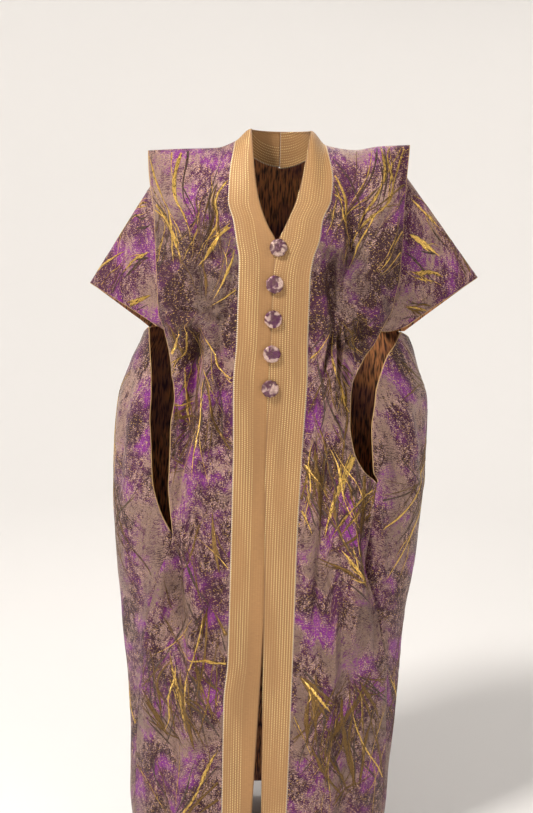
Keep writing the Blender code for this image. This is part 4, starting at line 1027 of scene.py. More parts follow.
def reverse_material():
    """Inner face of the brocade: loose floats in dull copper and brown, the copper painted lighter than its
    own colour as painted light for the shaded inside.
    """
    colours = bpy.context.scene.boubou_colours
    material, graph, shader, cloth = new_material("brocade_reverse")
    weave = add_group(graph, "thread_weave", {"Vector": cloth, "Pitch": 0.0016, "Slub": 0.8})
    floats = graph.noise(graph.place(cloth, scale=(260.0, 30.0, 1.0)), 1.0, 2.0)
    patch = graph.noise(cloth, 9.0, 2.0, 0.6)
    copper = graph.mix(graph.range(floats, 0.36, 0.60), rgba(colours.umber), COPPER_WITH_PAINTED_LIGHT)
    graph.put(shader.inputs["Base Color"],
              graph.mix(graph.range(patch, 0.45, 0.65, 0.0, 0.45), copper, rgba(colours.deep)))
    graph.put(shader.inputs["Roughness"], graph.range(floats, 0.3, 0.7, 0.62, 0.45))
    bump(graph, shader, graph.math("ADD", weave["Height"], floats), 0.0005, 0.6)
    return material


THREAD_PITCH = 0.0053       # distance between the gold thread rows of the band
THREAD_WIDTH = 0.24         # width of a row, as a share of that
STITCH_PITCH = 0.0040
RIB_PITCH = 0.0017


def band_material(name, plain_from):
    """Ribbed tan band cloth with rows of gold thread, and a plain stretch past a distance across."""
    colours = bpy.context.scene.boubou_colours
    material, graph, shader, cloth = new_material(name)
    weave = add_group(graph, "thread_weave", {"Vector": cloth, "Pitch": 0.0013, "Slub": 0.35})
    apart = graph.node("ShaderNodeSeparateXYZ", {"Vector": cloth})
    across = graph.math("ABSOLUTE", apart.outputs[0])
    down = apart.outputs[1]
    row = graph.math("DIVIDE", across, THREAD_PITCH)
    from_row = graph.math("ABSOLUTE", graph.math("SUBTRACT", graph.math("FRACT", row), 0.5))
    line = graph.range(from_row, THREAD_WIDTH * 0.35, THREAD_WIDTH * 0.65, 1.0, 0.0)
    which = graph.node("ShaderNodeTexWhiteNoise", {"W": graph.math("FLOOR", row)}, noise_dimensions="1D")
    along = graph.math("ADD", graph.math("DIVIDE", down, STITCH_PITCH), which.outputs[0])
    dash = graph.range(graph.math("ABSOLUTE", graph.math("SUBTRACT", graph.math("FRACT", along), 0.5)),
                       0.22, 0.32, 1.0, 0.05)
    worn = graph.noise(graph.place(cloth, scale=(30.0, 5.0, 1.0)), 1.0, 1.0)
    strong = graph.range(worn, 0.36, 0.60, 0.30, 1.0)
    plain = graph.range(across, plain_from, plain_from + 0.003, 1.0, 0.10)
    gold = graph.math("MULTIPLY", graph.math("MULTIPLY", line, dash), graph.math("MULTIPLY", strong, plain))
    rib = graph.math("SINE", graph.math("MULTIPLY", down, 2.0 * math.pi / RIB_PITCH))
    # painted shade and light on the ribs: the colour is darker in each rib's groove and lighter on its top
    tone = graph.math("MULTIPLY", weave["Shade"], graph.range(rib, -1.0, 1.0, 0.93, 1.05))
    wide = graph.noise(graph.place(cloth, scale=(14.0, 4.0, 1.0)), 1.0, 2.0)
    tone = graph.math("MULTIPLY", tone, graph.range(wide, 0.3, 0.7, 0.92, 1.07))
    ground = graph.node("ShaderNodeVectorMath", {0: rgba(colours.band)[:3], "Scale": tone},
                        operation="SCALE").outputs[0]
    rim = graph.node("ShaderNodeAttribute", attribute_name="rim").outputs["Fac"]
    ground = graph.mix(graph.range(rim, 0.0012, 0.0040, 0.35, 0.0), ground, rgba(colours.umber))
    seam = graph.math("MULTIPLY", graph.range(across, 0.0012, 0.0020, 1.0, 0.0), dash)
    ground = graph.mix(seam, ground, SEAM_THREAD)
    graph.put(shader.inputs["Base Color"], graph.mix(gold, ground, BAND_GOLD))
    graph.put(shader.inputs["Metallic"], graph.math("MULTIPLY", gold, 0.80))
    graph.put(shader.inputs["Roughness"], graph.mix_value(gold, 0.58, 0.30))
    height = graph.math("MULTIPLY_ADD", rib, 0.30, graph.math("MULTIPLY", weave["Height"], 0.5))
    bump(graph, shader, graph.math("ADD", height, graph.math("MULTIPLY", gold, 0.8)), 0.0005, 0.7)
    shader.inputs["Sheen Weight"].default_value = 0.10
    return material


def button_material():
    """The brocade gathered over a button, with painted cream highlights in patches over dark plum."""
    material, graph, shader, cloth = new_material("button_brocade")
    figure = add_group(graph, "brocade_figure", figure_inputs(cloth))
    weave = add_group(graph, "thread_weave", {"Vector": cloth, "Pitch": 0.0009, "Slub": 0.6})
    # painted highlight: noise patches of cream over dark plum stand for the gathered satin's highlights
    gather = graph.range(graph.noise(cloth, 42.0, 1.0, 0.5, 0.8), 0.46, 0.60)
    satin = graph.mix(gather, BUTTON_PLUM, PAINTED_BUTTON_HIGHLIGHT)
    graph.put(shader.inputs["Base Color"], graph.mix(0.70, figure["Colour"], satin))
    graph.put(shader.inputs["Roughness"], graph.range(figure["Purple"], 0.0, 1.0, 0.22, 0.36))
    bump(graph, shader, graph.math("ADD", graph.math("MULTIPLY", weave["Height"], 0.4), figure["Height"]),
         0.0005, 0.6)
    shader.inputs["Metallic"].default_value = 0.45
    shader.inputs["Specular IOR Level"].default_value = 0.7
    return material


def stem_material():
    """Metal thread of the woven stems: from dull bronze, painted shade, to bright gold, painted highlight;
    dark at both edges, partly an umber outline thread and partly painted shadow where the edges sink into
    the cloth.
    """
    colours = bpy.context.scene.boubou_colours
    material, graph, shader, cloth = new_material("stem_thread")
    apart = graph.node("ShaderNodeSeparateXYZ", {"Vector": cloth})
    tone = graph.node("ShaderNodeAttribute", attribute_name="tone").outputs["Fac"]
    crinkle = graph.noise(graph.place(cloth, scale=(330.0, 110.0, 1.0)), 1.0, 2.5, 0.6, 0.5)
    torn = graph.noise(graph.place(cloth, scale=(420.0, 45.0, 1.0)), 1.0, 2.0)
    # painted glints: the crinkle that raises the bump also turns its high spots gold
    broken = graph.math("MULTIPLY_ADD", crinkle, 1.5, -0.80)
    blend = graph.range(graph.math("ADD", tone, broken), 0.25, 0.75)
    metal = graph.mix(blend, rgba(colours.bronze), rgba(colours.gold))
    # the dark edges are partly an umber outline thread and partly painted shadow where the stem's edges
    # sink into the cloth
    edge = graph.node("ShaderNodeAttribute", attribute_name="edge").outputs["Fac"]
    dark = graph.range(graph.math("ADD", edge, graph.math("MULTIPLY_ADD", torn, 1.1, -0.50)), 0.55, 0.90)
    plain = graph.range(tone, -0.6, -0.2, 1.0, 0.0)
    dark = graph.math("MAXIMUM", dark, plain)
    graph.put(shader.inputs["Base Color"], graph.mix(dark, metal, rgba(colours.umber)))
    graph.put(shader.inputs["Metallic"], graph.range(dark, 0.0, 1.0, 0.88, 0.05))
    graph.put(shader.inputs["Roughness"], graph.range(crinkle, 0.3, 0.7, 0.22, 0.42))
    thread = graph.math("SINE", graph.math("MULTIPLY", apart.outputs[1], 2.0 * math.pi / 0.0012))
    bump(graph, shader, graph.math("MULTIPLY_ADD", thread, 0.08, crinkle), 0.0026, 1.0)
    return material


def stage_material():
    material = bpy.data.materials.new("pale_floor")
    material.use_nodes = True
    graph = Graph(material.node_tree)
    shader = material.node_tree.nodes["Principled BSDF"]
    place = graph.node("ShaderNodeTexCoord").outputs["Object"]
    colour = rgba(bpy.context.scene.boubou_stage.floor_colour)
    wear = graph.range(graph.noise(place, 0.8, 2.0), 0.3, 0.7, 0.0, 0.03)
    graph.put(shader.inputs["Base Color"], graph.mix(wear, colour, FLOOR_WEAR))
    shader.inputs["Roughness"].default_value = 0.75
    return material


# Woven stems: fans of tapering strokes. Across and down are distances on the sheet, headings are in
# degrees from straight down towards the outer side, and the last number is the share of bright gold:
# painted highlight, high on the caps and sleeves where the stems catch the light, low further down,
# where dull bronze stands for painted shade
Fan = namedtuple("Fan", "across down heading spread count reach width shine")
FRONT_FANS = {
    LEFT: [
        Fan(0.110, 0.285, 176, 48, 8, 0.215, 0.0075, 0.70),
        Fan(0.020, 0.075, 20, 24, 3, 0.130, 0.0060, 0.55),
        Fan(0.070, 0.345, 200, 60, 5, 0.090, 0.0050, 0.60),
        Fan(0.095, 0.355, 12, 42, 6, 0.130, 0.0055, 0.55),
        Fan(0.070, 0.640, 150, 50, 6, 0.170, 0.0070, 0.30),
        Fan(0.060, 0.570, 60, 30, 4, 0.120, 0.0065, 0.20),
        Fan(0.120, 0.790, 12, 70, 7, 0.190, 0.0075, 0.20),
        Fan(0.050, 0.960, 0, 36, 5, 0.170, 0.0075, 0.30),
        Fan(0.120, 1.080, 340, 60, 8, 0.210, 0.0095, 0.25),
        Fan(0.060, 1.330, 170, 44, 6, 0.200, 0.0090, 0.20),
        Fan(0.110, 1.520, 190, 50, 6, 0.180, 0.0080, 0.40),
    ],
    RIGHT: [
        Fan(0.090, 0.250, 170, 46, 8, 0.220, 0.0075, 0.85),
        Fan(0.020, 0.190, 150, 30, 4, 0.120, 0.0060, 0.70),
        Fan(0.150, 0.300, 150, 34, 4, 0.130, 0.0075, 0.85),
        Fan(0.060, 0.360, 10, 40, 6, 0.150, 0.0055, 0.55),
        Fan(0.100, 0.480, 10, 30, 4, 0.140, 0.0055, 0.40),
        Fan(0.040, 0.620, 20, 36, 5, 0.160, 0.0070, 0.30),
        Fan(0.090, 0.780, 200, 40, 5, 0.150, 0.0065, 0.20),
        Fan(0.050, 0.900, 160, 44, 6, 0.180, 0.0085, 0.25),
        Fan(0.150, 0.960, 185, 40, 6, 0.200, 0.0080, 0.30),
        Fan(0.110, 1.160, 20, 55, 7, 0.220, 0.0090, 0.30),
        Fan(0.060, 1.380, 175, 45, 6, 0.210, 0.0090, 0.30),
        Fan(0.160, 1.500, 180, 40, 6, 0.190, 0.0080, 0.45),
    ],
}
BACK_FANS = [
    Fan(-0.150, 0.250, 178, 46, 8, 0.210, 0.0080, 0.70),
    Fan(0.160, 0.270, 182, 46, 8, 0.210, 0.0080, 0.70),
    Fan(0.000, 0.330, 170, 55, 7, 0.190, 0.0080, 0.50),
    Fan(-0.080, 0.420, 0, 60, 7, 0.190, 0.0080, 0.35),
    Fan(0.110, 0.480, 10, 60, 7, 0.190, 0.0080, 0.35),
    Fan(-0.190, 0.640, 190, 50, 7, 0.200, 0.0080, 0.40),
    Fan(0.040, 0.760, 170, 60, 8, 0.210, 0.0085, 0.35),
    Fan(0.210, 0.740, 0, 50, 7, 0.200, 0.0080, 0.35),
    Fan(-0.120, 0.900, 0, 60, 8, 0.210, 0.0090, 0.30),
    Fan(0.130, 1.040, 180, 55, 8, 0.220, 0.0090, 0.35),
    Fan(-0.200, 1.180, 170, 50, 7, 0.210, 0.0085, 0.30),
    Fan(0.000, 1.240, 5, 60, 8, 0.210, 0.0090, 0.30),
    Fan(0.210, 1.300, 0, 50, 7, 0.200, 0.0085, 0.35),
    Fan(-0.100, 1.480, 180, 55, 7, 0.190, 0.0085, 0.35),
    Fan(0.110, 1.500, 175, 50, 7, 0.180, 0.0085, 0.40),
    Fan(-0.390, 0.480, 25, 40, 5, 0.150, 0.0060, 0.60),
    Fan(-0.360, 0.620, 330, 50, 6, 0.170, 0.0065, 0.40),
    Fan(-0.380, 0.850, 175, 45, 6, 0.180, 0.0070, 0.35),
    Fan(-0.370, 0.980, 10, 45, 6, 0.180, 0.0070, 0.30),
    Fan(-0.340, 1.330, 180, 50, 6, 0.200, 0.0080, 0.35),
    Fan(0.390, 0.470, 335, 45, 6, 0.150, 0.0065, 0.80),
    Fan(0.370, 0.640, 20, 45, 5, 0.160, 0.0065, 0.60),
    Fan(0.380, 0.860, 185, 45, 6, 0.190, 0.0070, 0.45),
    Fan(0.360, 1.060, 350, 45, 6, 0.180, 0.0075, 0.40),
    Fan(0.340, 1.380, 178, 50, 6, 0.200, 0.0080, 0.40),
]
SLEEVE_FANS = {
    LEFT: [
        Fan(0.078, 0.075, 70, 0, 1, 0.095, 0.0130, 1.00),
        Fan(0.070, 0.140, 66, 12, 2, 0.080, 0.0050, 0.90),
        Fan(0.060, 0.210, 62, 16, 3, 0.090, 0.0060, 0.85),
        Fan(0.060, 0.430, 115, 16, 3, 0.100, 0.0070, 0.70),
        Fan(0.060, 0.540, 118, 16, 3, 0.100, 0.0070, 0.70),
    ],
    RIGHT: [
        Fan(0.068, 0.180, 74, 0, 1, 0.105, 0.0120, 1.00),
        Fan(0.066, 0.120, 70, 12, 2, 0.100, 0.0060, 0.90),
        Fan(0.080, 0.060, 68, 14, 3, 0.080, 0.0055, 0.75),
        Fan(0.060, 0.430, 115, 16, 3, 0.100, 0.0070, 0.70),
        Fan(0.060, 0.540, 118, 16, 3, 0.100, 0.0070, 0.70),
    ],
}
FRONT_SEEDS = {LEFT: 10, RIGHT: 19}
STEM_WIDTHS = [0.35, 0.6, 0.9, 1.4]     # a stroke's width as a share of its fan's
TWIG_WIDTH = (0.0026, 0.0060)           # least and greatest width of a dark twig
SMALL_FANS = 2              # small fans for each large one
STEM_POINTS = 26
STEM_RISE = 0.00055         # height of a stem's middle over the cloth
STEM_SINK = 0.00045         # its edges lie this deep in the cloth
STEM_PROFILE = [(-1.0, -1.0), (-0.72, 0.55), (0.0, 1.0), (0.72, 0.55), (1.0, -1.0)]

DARK_THREAD = -1.0          # tone of the thin umber twigs, which hold no metal
DARK_SHARE = 0.6            # share of the strokes with a dark twig beside them
BROAD_STEM = 0.0105         # strokes wider than this stay nearly straight and even

Stroke = namedtuple("Stroke", "path half_widths tone")


def one_stroke(start, heading, length, width, tone, rng):
    """A tapering stroke on the flat cloth, bending slowly and uneven in width."""
    s = np.linspace(0.0, 1.0, STEM_POINTS)
    stiff = 0.35 if width > BROAD_STEM else 1.0
    bend = rng.normal(0.0, 0.32) * stiff
    wobble = rng.normal(0.0, 0.16) * stiff * np.sin(s * rng.uniform(5.0, 11.0) + rng.uniform(0.0, 6.0))
    angle = heading + bend * s + wobble
    step = length / (STEM_POINTS - 1)
    path = np.stack([np.cumsum(np.sin(angle)) * step, np.cumsum(np.cos(angle)) * step], axis=-1) + start
    peak = rng.uniform(0.25, 0.65)
    lens = np.where(s < peak, s / peak, (1.0 - s) / (1.0 - peak))
    uneven = 1.0 + 0.40 * stiff * np.sin(s * 21.0 + rng.uniform(0, 6)) * np.sin(s * 9.0 + rng.uniform(0, 6))
    return Stroke(path, width / 2 * np.sin(lens * math.pi / 2) ** 0.8 * uneven, tone)


def pick_tone(shine, rng):
    """Bright gold from 0.5 to 1, standing for painted highlight, and otherwise dull bronze at 0, standing
    for painted shade.
    """
    return float(rng.random() < shine) * rng.uniform(0.5, 1.0)


def fan_strokes(fan, outward, rng):
    """The strokes and forks of one fan."""
    strokes = []
    for k in range(fan.count):
        share = (k + rng.uniform(0.2, 0.8)) / fan.count * 2.0 - 1.0
        heading = math.radians(fan.heading + fan.spread * share)
        reach = fan.reach * rng.uniform(0.02, 0.30)
        length = fan.reach * (rng.uniform(0.70, 1.65) if fan.spread else 1.0)
        width = fan.width * (rng.choice(STEM_WIDTHS) if fan.spread else 1.0) * rng.uniform(0.8, 1.2)
        tone = pick_tone(fan.shine, rng)
        start = np.array([fan.across + math.sin(heading) * reach, fan.down + math.cos(heading) * reach])
        stroke = one_stroke(start, heading, length, width, tone, rng)
        strokes.append(stroke)
        for _ in range(rng.integers(0, 4)):
            at = rng.integers(STEM_POINTS // 5, STEM_POINTS * 2 // 3)
            step = stroke.path[at + 1] - stroke.path[at]
            off = math.atan2(step[0], step[1]) + rng.choice([-1.0, 1.0]) * rng.uniform(0.15, 0.42)
            strokes.append(one_stroke(stroke.path[at], off, length * rng.uniform(0.25, 0.60),
                                      width * rng.uniform(0.25, 0.50), tone, rng))
        if rng.random() < DARK_SHARE:
            beside = np.array([rng.normal(0.0, 0.010), rng.normal(0.0, 0.018)])
            strokes.append(one_stroke(start + beside, heading + rng.normal(0.0, 0.10),
                                      length * rng.uniform(0.7, 1.2), rng.uniform(*TWIG_WIDTH),
                                      DARK_THREAD, rng))
    for stroke in strokes:
        stroke.path[:, 0] *= outward
    return strokes


def scattered(fans, rng):
    """Small fans between the large ones, each turned much like its nearest large fan."""
    spots = np.array([fan[:2] for fan in fans])
    low, high = spots.min(axis=0), spots.max(axis=0)
    small = []
    for _ in range(SMALL_FANS * len(fans)):
        across, down = rng.uniform(low - 0.03, high + 0.05)
        near = min(fans, key=lambda fan: math.dist(fan[:2], (across, down)))
        small.append(Fan(across, down, near.heading + rng.normal(0.0, 24.0), rng.uniform(8, 26),
                         int(rng.integers(1, 4)), rng.uniform(0.08, 0.17), rng.uniform(0.004, 0.009),
                         near.shine * 0.7))
    return small


EDGE_ROWS = 1.5             # stems stop this many rows or columns inside a sheet's edge


def on_sheet(sheet, normals, flat):
    """Places and outward directions on a sheet, and whether each flat place is on kept cloth."""
    rows, columns = sheet.across.shape
    across, down = flat[..., 0].ravel(), flat[..., 1].ravel()
    level = sheet.down.mean(axis=1) if sheet.kept.all() else sheet.down[:, columns // 2]
    row = np.interp(down, level, np.arange(rows))
    first = np.clip(row.astype(int), 0, rows - 2)
    part = row - first
    order = 1 if sheet.across[0, -1] > sheet.across[0, 0] else -1
    column = np.zeros(row.shape)
    for i in np.unique(first):
        here = first == i
        ends = [np.interp(across[here], sheet.across[k][::order], np.arange(columns)[::order])
                for k in (i, i + 1)]
        column[here] = ends[0] * (1 - part[here]) + ends[1] * part[here]
    left = np.clip(column.astype(int), 0, columns - 2)
    beside, part = (column - left)[:, None], part[:, None]

    def blend(grid):
        upper = grid[first, left] * (1 - beside) + grid[first, left + 1] * beside
        lower = grid[first + 1, left] * (1 - beside) + grid[first + 1, left + 1] * beside
        return (upper * (1 - part) + lower * part).reshape(*flat.shape[:-1], 3)

    on_cloth = ((row > EDGE_ROWS) & (row < rows - 1 - EDGE_ROWS) & (column > EDGE_ROWS)
                & (column < columns - 1 - EDGE_ROWS)
                & sheet.kept[first, left] & sheet.kept[first + 1, left + 1])
    return blend(sheet.places), blend(normals), on_cloth.reshape(flat.shape[:-1])


def stems_object(sheet, fans, outward, material, seed):
    """All the woven stems of one sheet, as low domed strips whose edges sink into the cloth."""
    rng = np.random.default_rng(seed)
    strokes = [stroke for fan in fans + scattered(fans, rng) for stroke in fan_strokes(fan, outward, rng)]
    path = np.stack([stroke.path for stroke in strokes]) + np.array([sheet_offset(sheet), 0.0])
    half = np.stack([stroke.half_widths for stroke in strokes])
    tone = np.array([stroke.tone for stroke in strokes])
    normals = direction_out(sheet.places)

    on_cloth = on_sheet(sheet, normals, path)[2]
    last = np.where(on_cloth.all(axis=1), STEM_POINTS, np.argmin(on_cloth, axis=1))
    long_enough = last >= STEM_POINTS // 3
    path, half, tone, last = (part[long_enough] for part in (path, half, tone, last))
    at = np.linspace(0.0, 1.0, STEM_POINTS) * (last - 1)[:, None]
    lower = np.minimum(at.astype(int), STEM_POINTS - 2)
    share = at - lower
    half = (np.take_along_axis(half, lower, 1) * (1 - share)
            + np.take_along_axis(half, lower + 1, 1) * share)
    lower, share = lower[..., None], share[..., None]
    path = np.take_along_axis(path, lower, 1) * (1 - share) + np.take_along_axis(path, lower + 1, 1) * share

    along = np.gradient(path, axis=1)
    along /= np.linalg.norm(along, axis=-1, keepdims=True)
    sideways = np.stack([-along[..., 1], along[..., 0]], axis=-1)
    run = np.linalg.norm(np.diff(path, axis=1), axis=-1).cumsum(axis=1)
    run = np.insert(run, 0, 0.0, axis=1) + 0.7 * np.arange(len(path))[:, None]
    reach, rise = np.array(STEM_PROFILE).T
    flat = path[:, None] + sideways[:, None] * (half[:, None] * reach[:, None])[..., None]
    place, out, _ = on_sheet(sheet, normals, flat)
    lift = np.where(rise > 0.0, rise * STEM_RISE, rise * STEM_SINK)
    places = place + out * lift[:, None, None]
    pattern = np.stack([half[:, None] * reach[:, None], run[:, None] + 0.0 * reach[:, None]], axis=-1)
    tones = tone[:, None, None] + np.zeros(places.shape[:3])
    edges = np.abs(reach)[:, None] + np.zeros(places.shape[:3])

    strips = len(STEM_PROFILE)
    lines = len(path) * strips
    bm = bmesh.new()
    bmesh.ops.create_grid(bm, x_segments=lines - 1, y_segments=STEM_POINTS - 1, size=1.0)
    between = [face for face in bm.faces
               if int((face.calc_center_median().x + 1.0) / 2.0 * (lines - 1)) % strips == strips - 1]
    bmesh.ops.delete(bm, geom=between, context="FACES")
    mesh = bpy.data.meshes.new(sheet.name.replace("cloth", "stems"))
    bm.to_mesh(mesh)
    bm.free()
    plan = np.empty(len(mesh.vertices) * 3)
    mesh.vertices.foreach_get("co", plan)
    plan = plan.reshape(-1, 3)
    line = np.rint((plan[:, 0] + 1.0) / 2.0 * (lines - 1)).astype(int)
    which, column = line // strips, line % strips
    row = np.rint((plan[:, 1] + 1.0) / 2.0 * (STEM_POINTS - 1)).astype(int)
    mesh.vertices.foreach_set("co", places[which, column, row].ravel())
    corner = np.empty(len(mesh.loops), dtype=int)
    mesh.loops.foreach_get("vertex_index", corner)
    layer = mesh.uv_layers.new(name="cloth")
    layer.uv.foreach_set("vector", pattern[which, column, row].reshape(-1, 2)[corner].ravel())
    for label, values in (("tone", tones), ("edge", edges)):
        attribute = mesh.attributes.new(label, "FLOAT", "POINT")
        attribute.data.foreach_set("value", values[which, column, row].ravel())
    mesh.materials.append(material)
    mesh.shade_smooth()
    piece = bpy.data.objects.new(mesh.name, mesh)
    bpy.context.scene.collection.objects.link(piece)
    return piece


def sheet_offset(sheet):
    """Where a sheet's own distances across start in the pattern."""
    if sheet.name.startswith("back"):
        return BACK_PATTERN
    for side in (LEFT, RIGHT):
        if sheet.name == f"sleeve_{SIDE_NAME[side]}_cloth":
            return SLEEVE_PATTERN[side]
    return 0.0


def button_spot(z):
    """Centre of a button on the right band's face, and the outward direction there."""
    x = float(read_table(BAND_INNER[RIGHT], "z", "x", z)) + BUTTON_FROM_EDGE
    side = LEFT if x < 0.0 else RIGHT
    turn = turn_at(side, x, z)
    out = -Vector(wall_direction(side, turn, z))
    return Vector(hang(side, turn, z)) + out * (SEAM + BUTTON_BACK), out


BUTTON_SEGMENTS = 72
BUTTON_RINGS = 36
FACETS = 5                  # flats of the gathered cloth on each button
BUTTON_RAISE = 0.0008       # gathered cloth stands this much over the mould
BUTTON_PATTERN = 8.0        # the buttons are cut from a further stretch of the pattern
BUTTON_STRETCH = 1.3


def button_object(number, z, material):
    """A button covered with gathered cloth: a dome broken by a few flat facets and fine gathers."""
    centre, out = button_spot(z)
    rng = np.random.default_rng(70 + number)
    bm = bmesh.new()
    bmesh.ops.create_uvsphere(bm, u_segments=BUTTON_SEGMENTS, v_segments=BUTTON_RINGS, radius=1.0)
    facets = []
    for k in range(FACETS):
        angle = (k + rng.uniform(-0.3, 0.3)) * 2.0 * math.pi / FACETS
        lean = rng.uniform(0.15, 0.62)
        facets.append((Vector((math.cos(angle) * lean, math.sin(angle) * lean, 1.0)).normalized(),
                       rng.uniform(0.62, 0.82)))
    folds = [(rng.integers(5, 14), rng.uniform(0, 6), rng.uniform(0.008, 0.018)) for _ in range(4)]
    layer = bm.loops.layers.uv.new("cloth")
    towards = out.to_track_quat("Z", "Y").to_matrix()
    half = BUTTON_ACROSS / 2
    flat = {}
    for vert in bm.verts:
        place = vert.co.copy()
        flat[vert.index] = place.xy * half
        for facing, limit in facets:
            over = place.dot(facing) - limit
            if over > 0.0:
                place -= facing * over * 0.95
        angle = math.atan2(place.y, place.x)
        far = clamp01((place.xy.length - 0.25) / 0.5)
        gather = sum(size * math.sin(count * angle + phase) for count, phase, size in folds)
        place *= 1.0 + float(far) * gather
        high = place.z * (BUTTON_DOME + BUTTON_RAISE if place.z > 0.0 else BUTTON_BACK)
        vert.co = centre + towards @ Vector((place.x * half, place.y * half, high))
    for face in bm.faces:
        for loop in face.loops:
            spot = flat[loop.vert.index]
            loop[layer].uv = (BUTTON_PATTERN + number * 0.13 + spot.x * BUTTON_STRETCH,
                               0.4 * number + spot.y * BUTTON_STRETCH)
        face.smooth = True
    mesh = bpy.data.meshes.new(f"button_{number}_cover")
    bm.to_mesh(mesh)
    bm.free()
    mesh.materials.append(material)
    piece = bpy.data.objects.new(mesh.name, mesh)
    bpy.context.scene.collection.objects.link(piece)
    return piece


# The cut of what shows of each sheet, in metres and square metres
Cut = namedtuple("Cut", "width length area")


def build_sheet(sheet, wall, materials, node):
    """Make a sheet's piece and put it in place of its node."""
    piece = sheet_object(sheet, wall, materials)
    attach(piece, "root")
    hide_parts(node)
    return piece


class BOUBOU_OT_materials(bpy.types.Operator):
    """Make the threads' materials"""

    bl_idname = "boubou.materials"
    bl_label = "Materials"

    def execute(self, context):
        weave_group()
        figure_group()
        brocade_material()
        reverse_material()
        band_material("band_left_cloth", 0.041)
        band_material("band_right_cloth", 0.200)
        button_material()
        stem_material()
        return {"FINISHED"}


class BOUBOU_OT_fronts(bpy.types.Operator):
    """Make the two front panels with their square shoulder caps and their woven stems"""

    bl_idname = "boubou.fronts"
    bl_label = "Front Panels"

    def execute(self, context):
        cloth = [bpy.data.materials["brocade_face"], bpy.data.materials["brocade_reverse"]]
        for side in (LEFT, RIGHT):
            sheet = front_sheet(side)
            node = f"front_{SIDE_NAME[side]}"
            build_sheet(sheet, context.scene.boubou_cloth.wall, cloth, node)
            add_stems(sheet, FRONT_FANS[side], side, FRONT_SEEDS[side])
        return {"FINISHED"}


class BOUBOU_OT_back(bpy.types.Operator):
    """Make the back panel and its woven stems"""

    bl_idname = "boubou.back"
    bl_label = "Back Panel"

    def execute(self, context):
        sheet = back_sheet()
        cloth = [bpy.data.materials["brocade_face"], bpy.data.materials["brocade_reverse"]]
        build_sheet(sheet, context.scene.boubou_cloth.wall, cloth, "back")
        add_stems(sheet, BACK_FANS, 1, 23)
        return {"FINISHED"}


class BOUBOU_OT_sleeves(bpy.types.Operator):
    """Make the two folded sleeves and their woven stems"""

    bl_idname = "boubou.sleeves"
    bl_label = "Sleeves"

    def execute(self, context):
        cloth = [bpy.data.materials["brocade_face"], bpy.data.materials["brocade_reverse"]]
        for side in (LEFT, RIGHT):
            sheet = sleeve_sheet(side)
            node = f"sleeve_{SIDE_NAME[side]}"
            build_sheet(sheet, context.scene.boubou_cloth.wall, cloth, node)
            add_stems(sheet, SLEEVE_FANS[side], -side, 31 + side)
        return {"FINISHED"}


class BOUBOU_OT_bands(bpy.types.Operator):
    """Make the two halves of the neck and front band"""

    bl_idname = "boubou.bands"
    bl_label = "Front Band"

    def execute(self, context):
        for side in (LEFT, RIGHT):
            name = f"band_{SIDE_NAME[side]}"
            cloth = [bpy.data.materials[f"{name}_cloth"]] * 2
            build_sheet(band_sheet(side), context.scene.boubou_cloth.band_wall, cloth, name)
        return {"FINISHED"}


class BOUBOU_OT_buttons(bpy.types.Operator):
    """Make the five covered buttons"""

    bl_idname = "boubou.buttons"
    bl_label = "Buttons"

    def execute(self, context):
        for number, z in enumerate(BUTTON_HEIGHTS, start=1):
            piece = button_object(number, z, bpy.data.materials["button_brocade"])
            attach(piece, "root")
            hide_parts(f"button_{number}")
        return {"FINISHED"}


def add_stems(sheet, fans, outward, seed):
    piece = stems_object(sheet, fans, outward, bpy.data.materials["stem_thread"], seed)
    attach(piece, "root")


BOWL_FLAT = 2.6             # radius of the flat floor
BOWL_BEND = 1.8             # radius of its bend
BOWL_RISE = 1.4             # height of the straight edge over the bend
LIGHTS = [
    ("key_light", (-1.9, -1.5, 2.8), (0.7, 0.7), 205.0),
    ("fill_light", (2.8, -2.4, 1.2), (1.6, 1.6), 26.0),
    ("back_light", (0.8, 3.0, 2.4), (2.0, 1.6), 60.0),
]
LAMP_COLOUR = (1.0, 0.955, 0.905)
LIGHT_AIM = (0.0, 0.0, -0.6)
WORLD_STRENGTH = 0.06
ROOM_COLOUR = (0.96, 0.95, 0.94, 1.0)
CAMERA_X = -0.0188
CAMERA_Z = -0.0054
CAMERA_TILT = 13.0
CAMERA_ROLL = 1.05


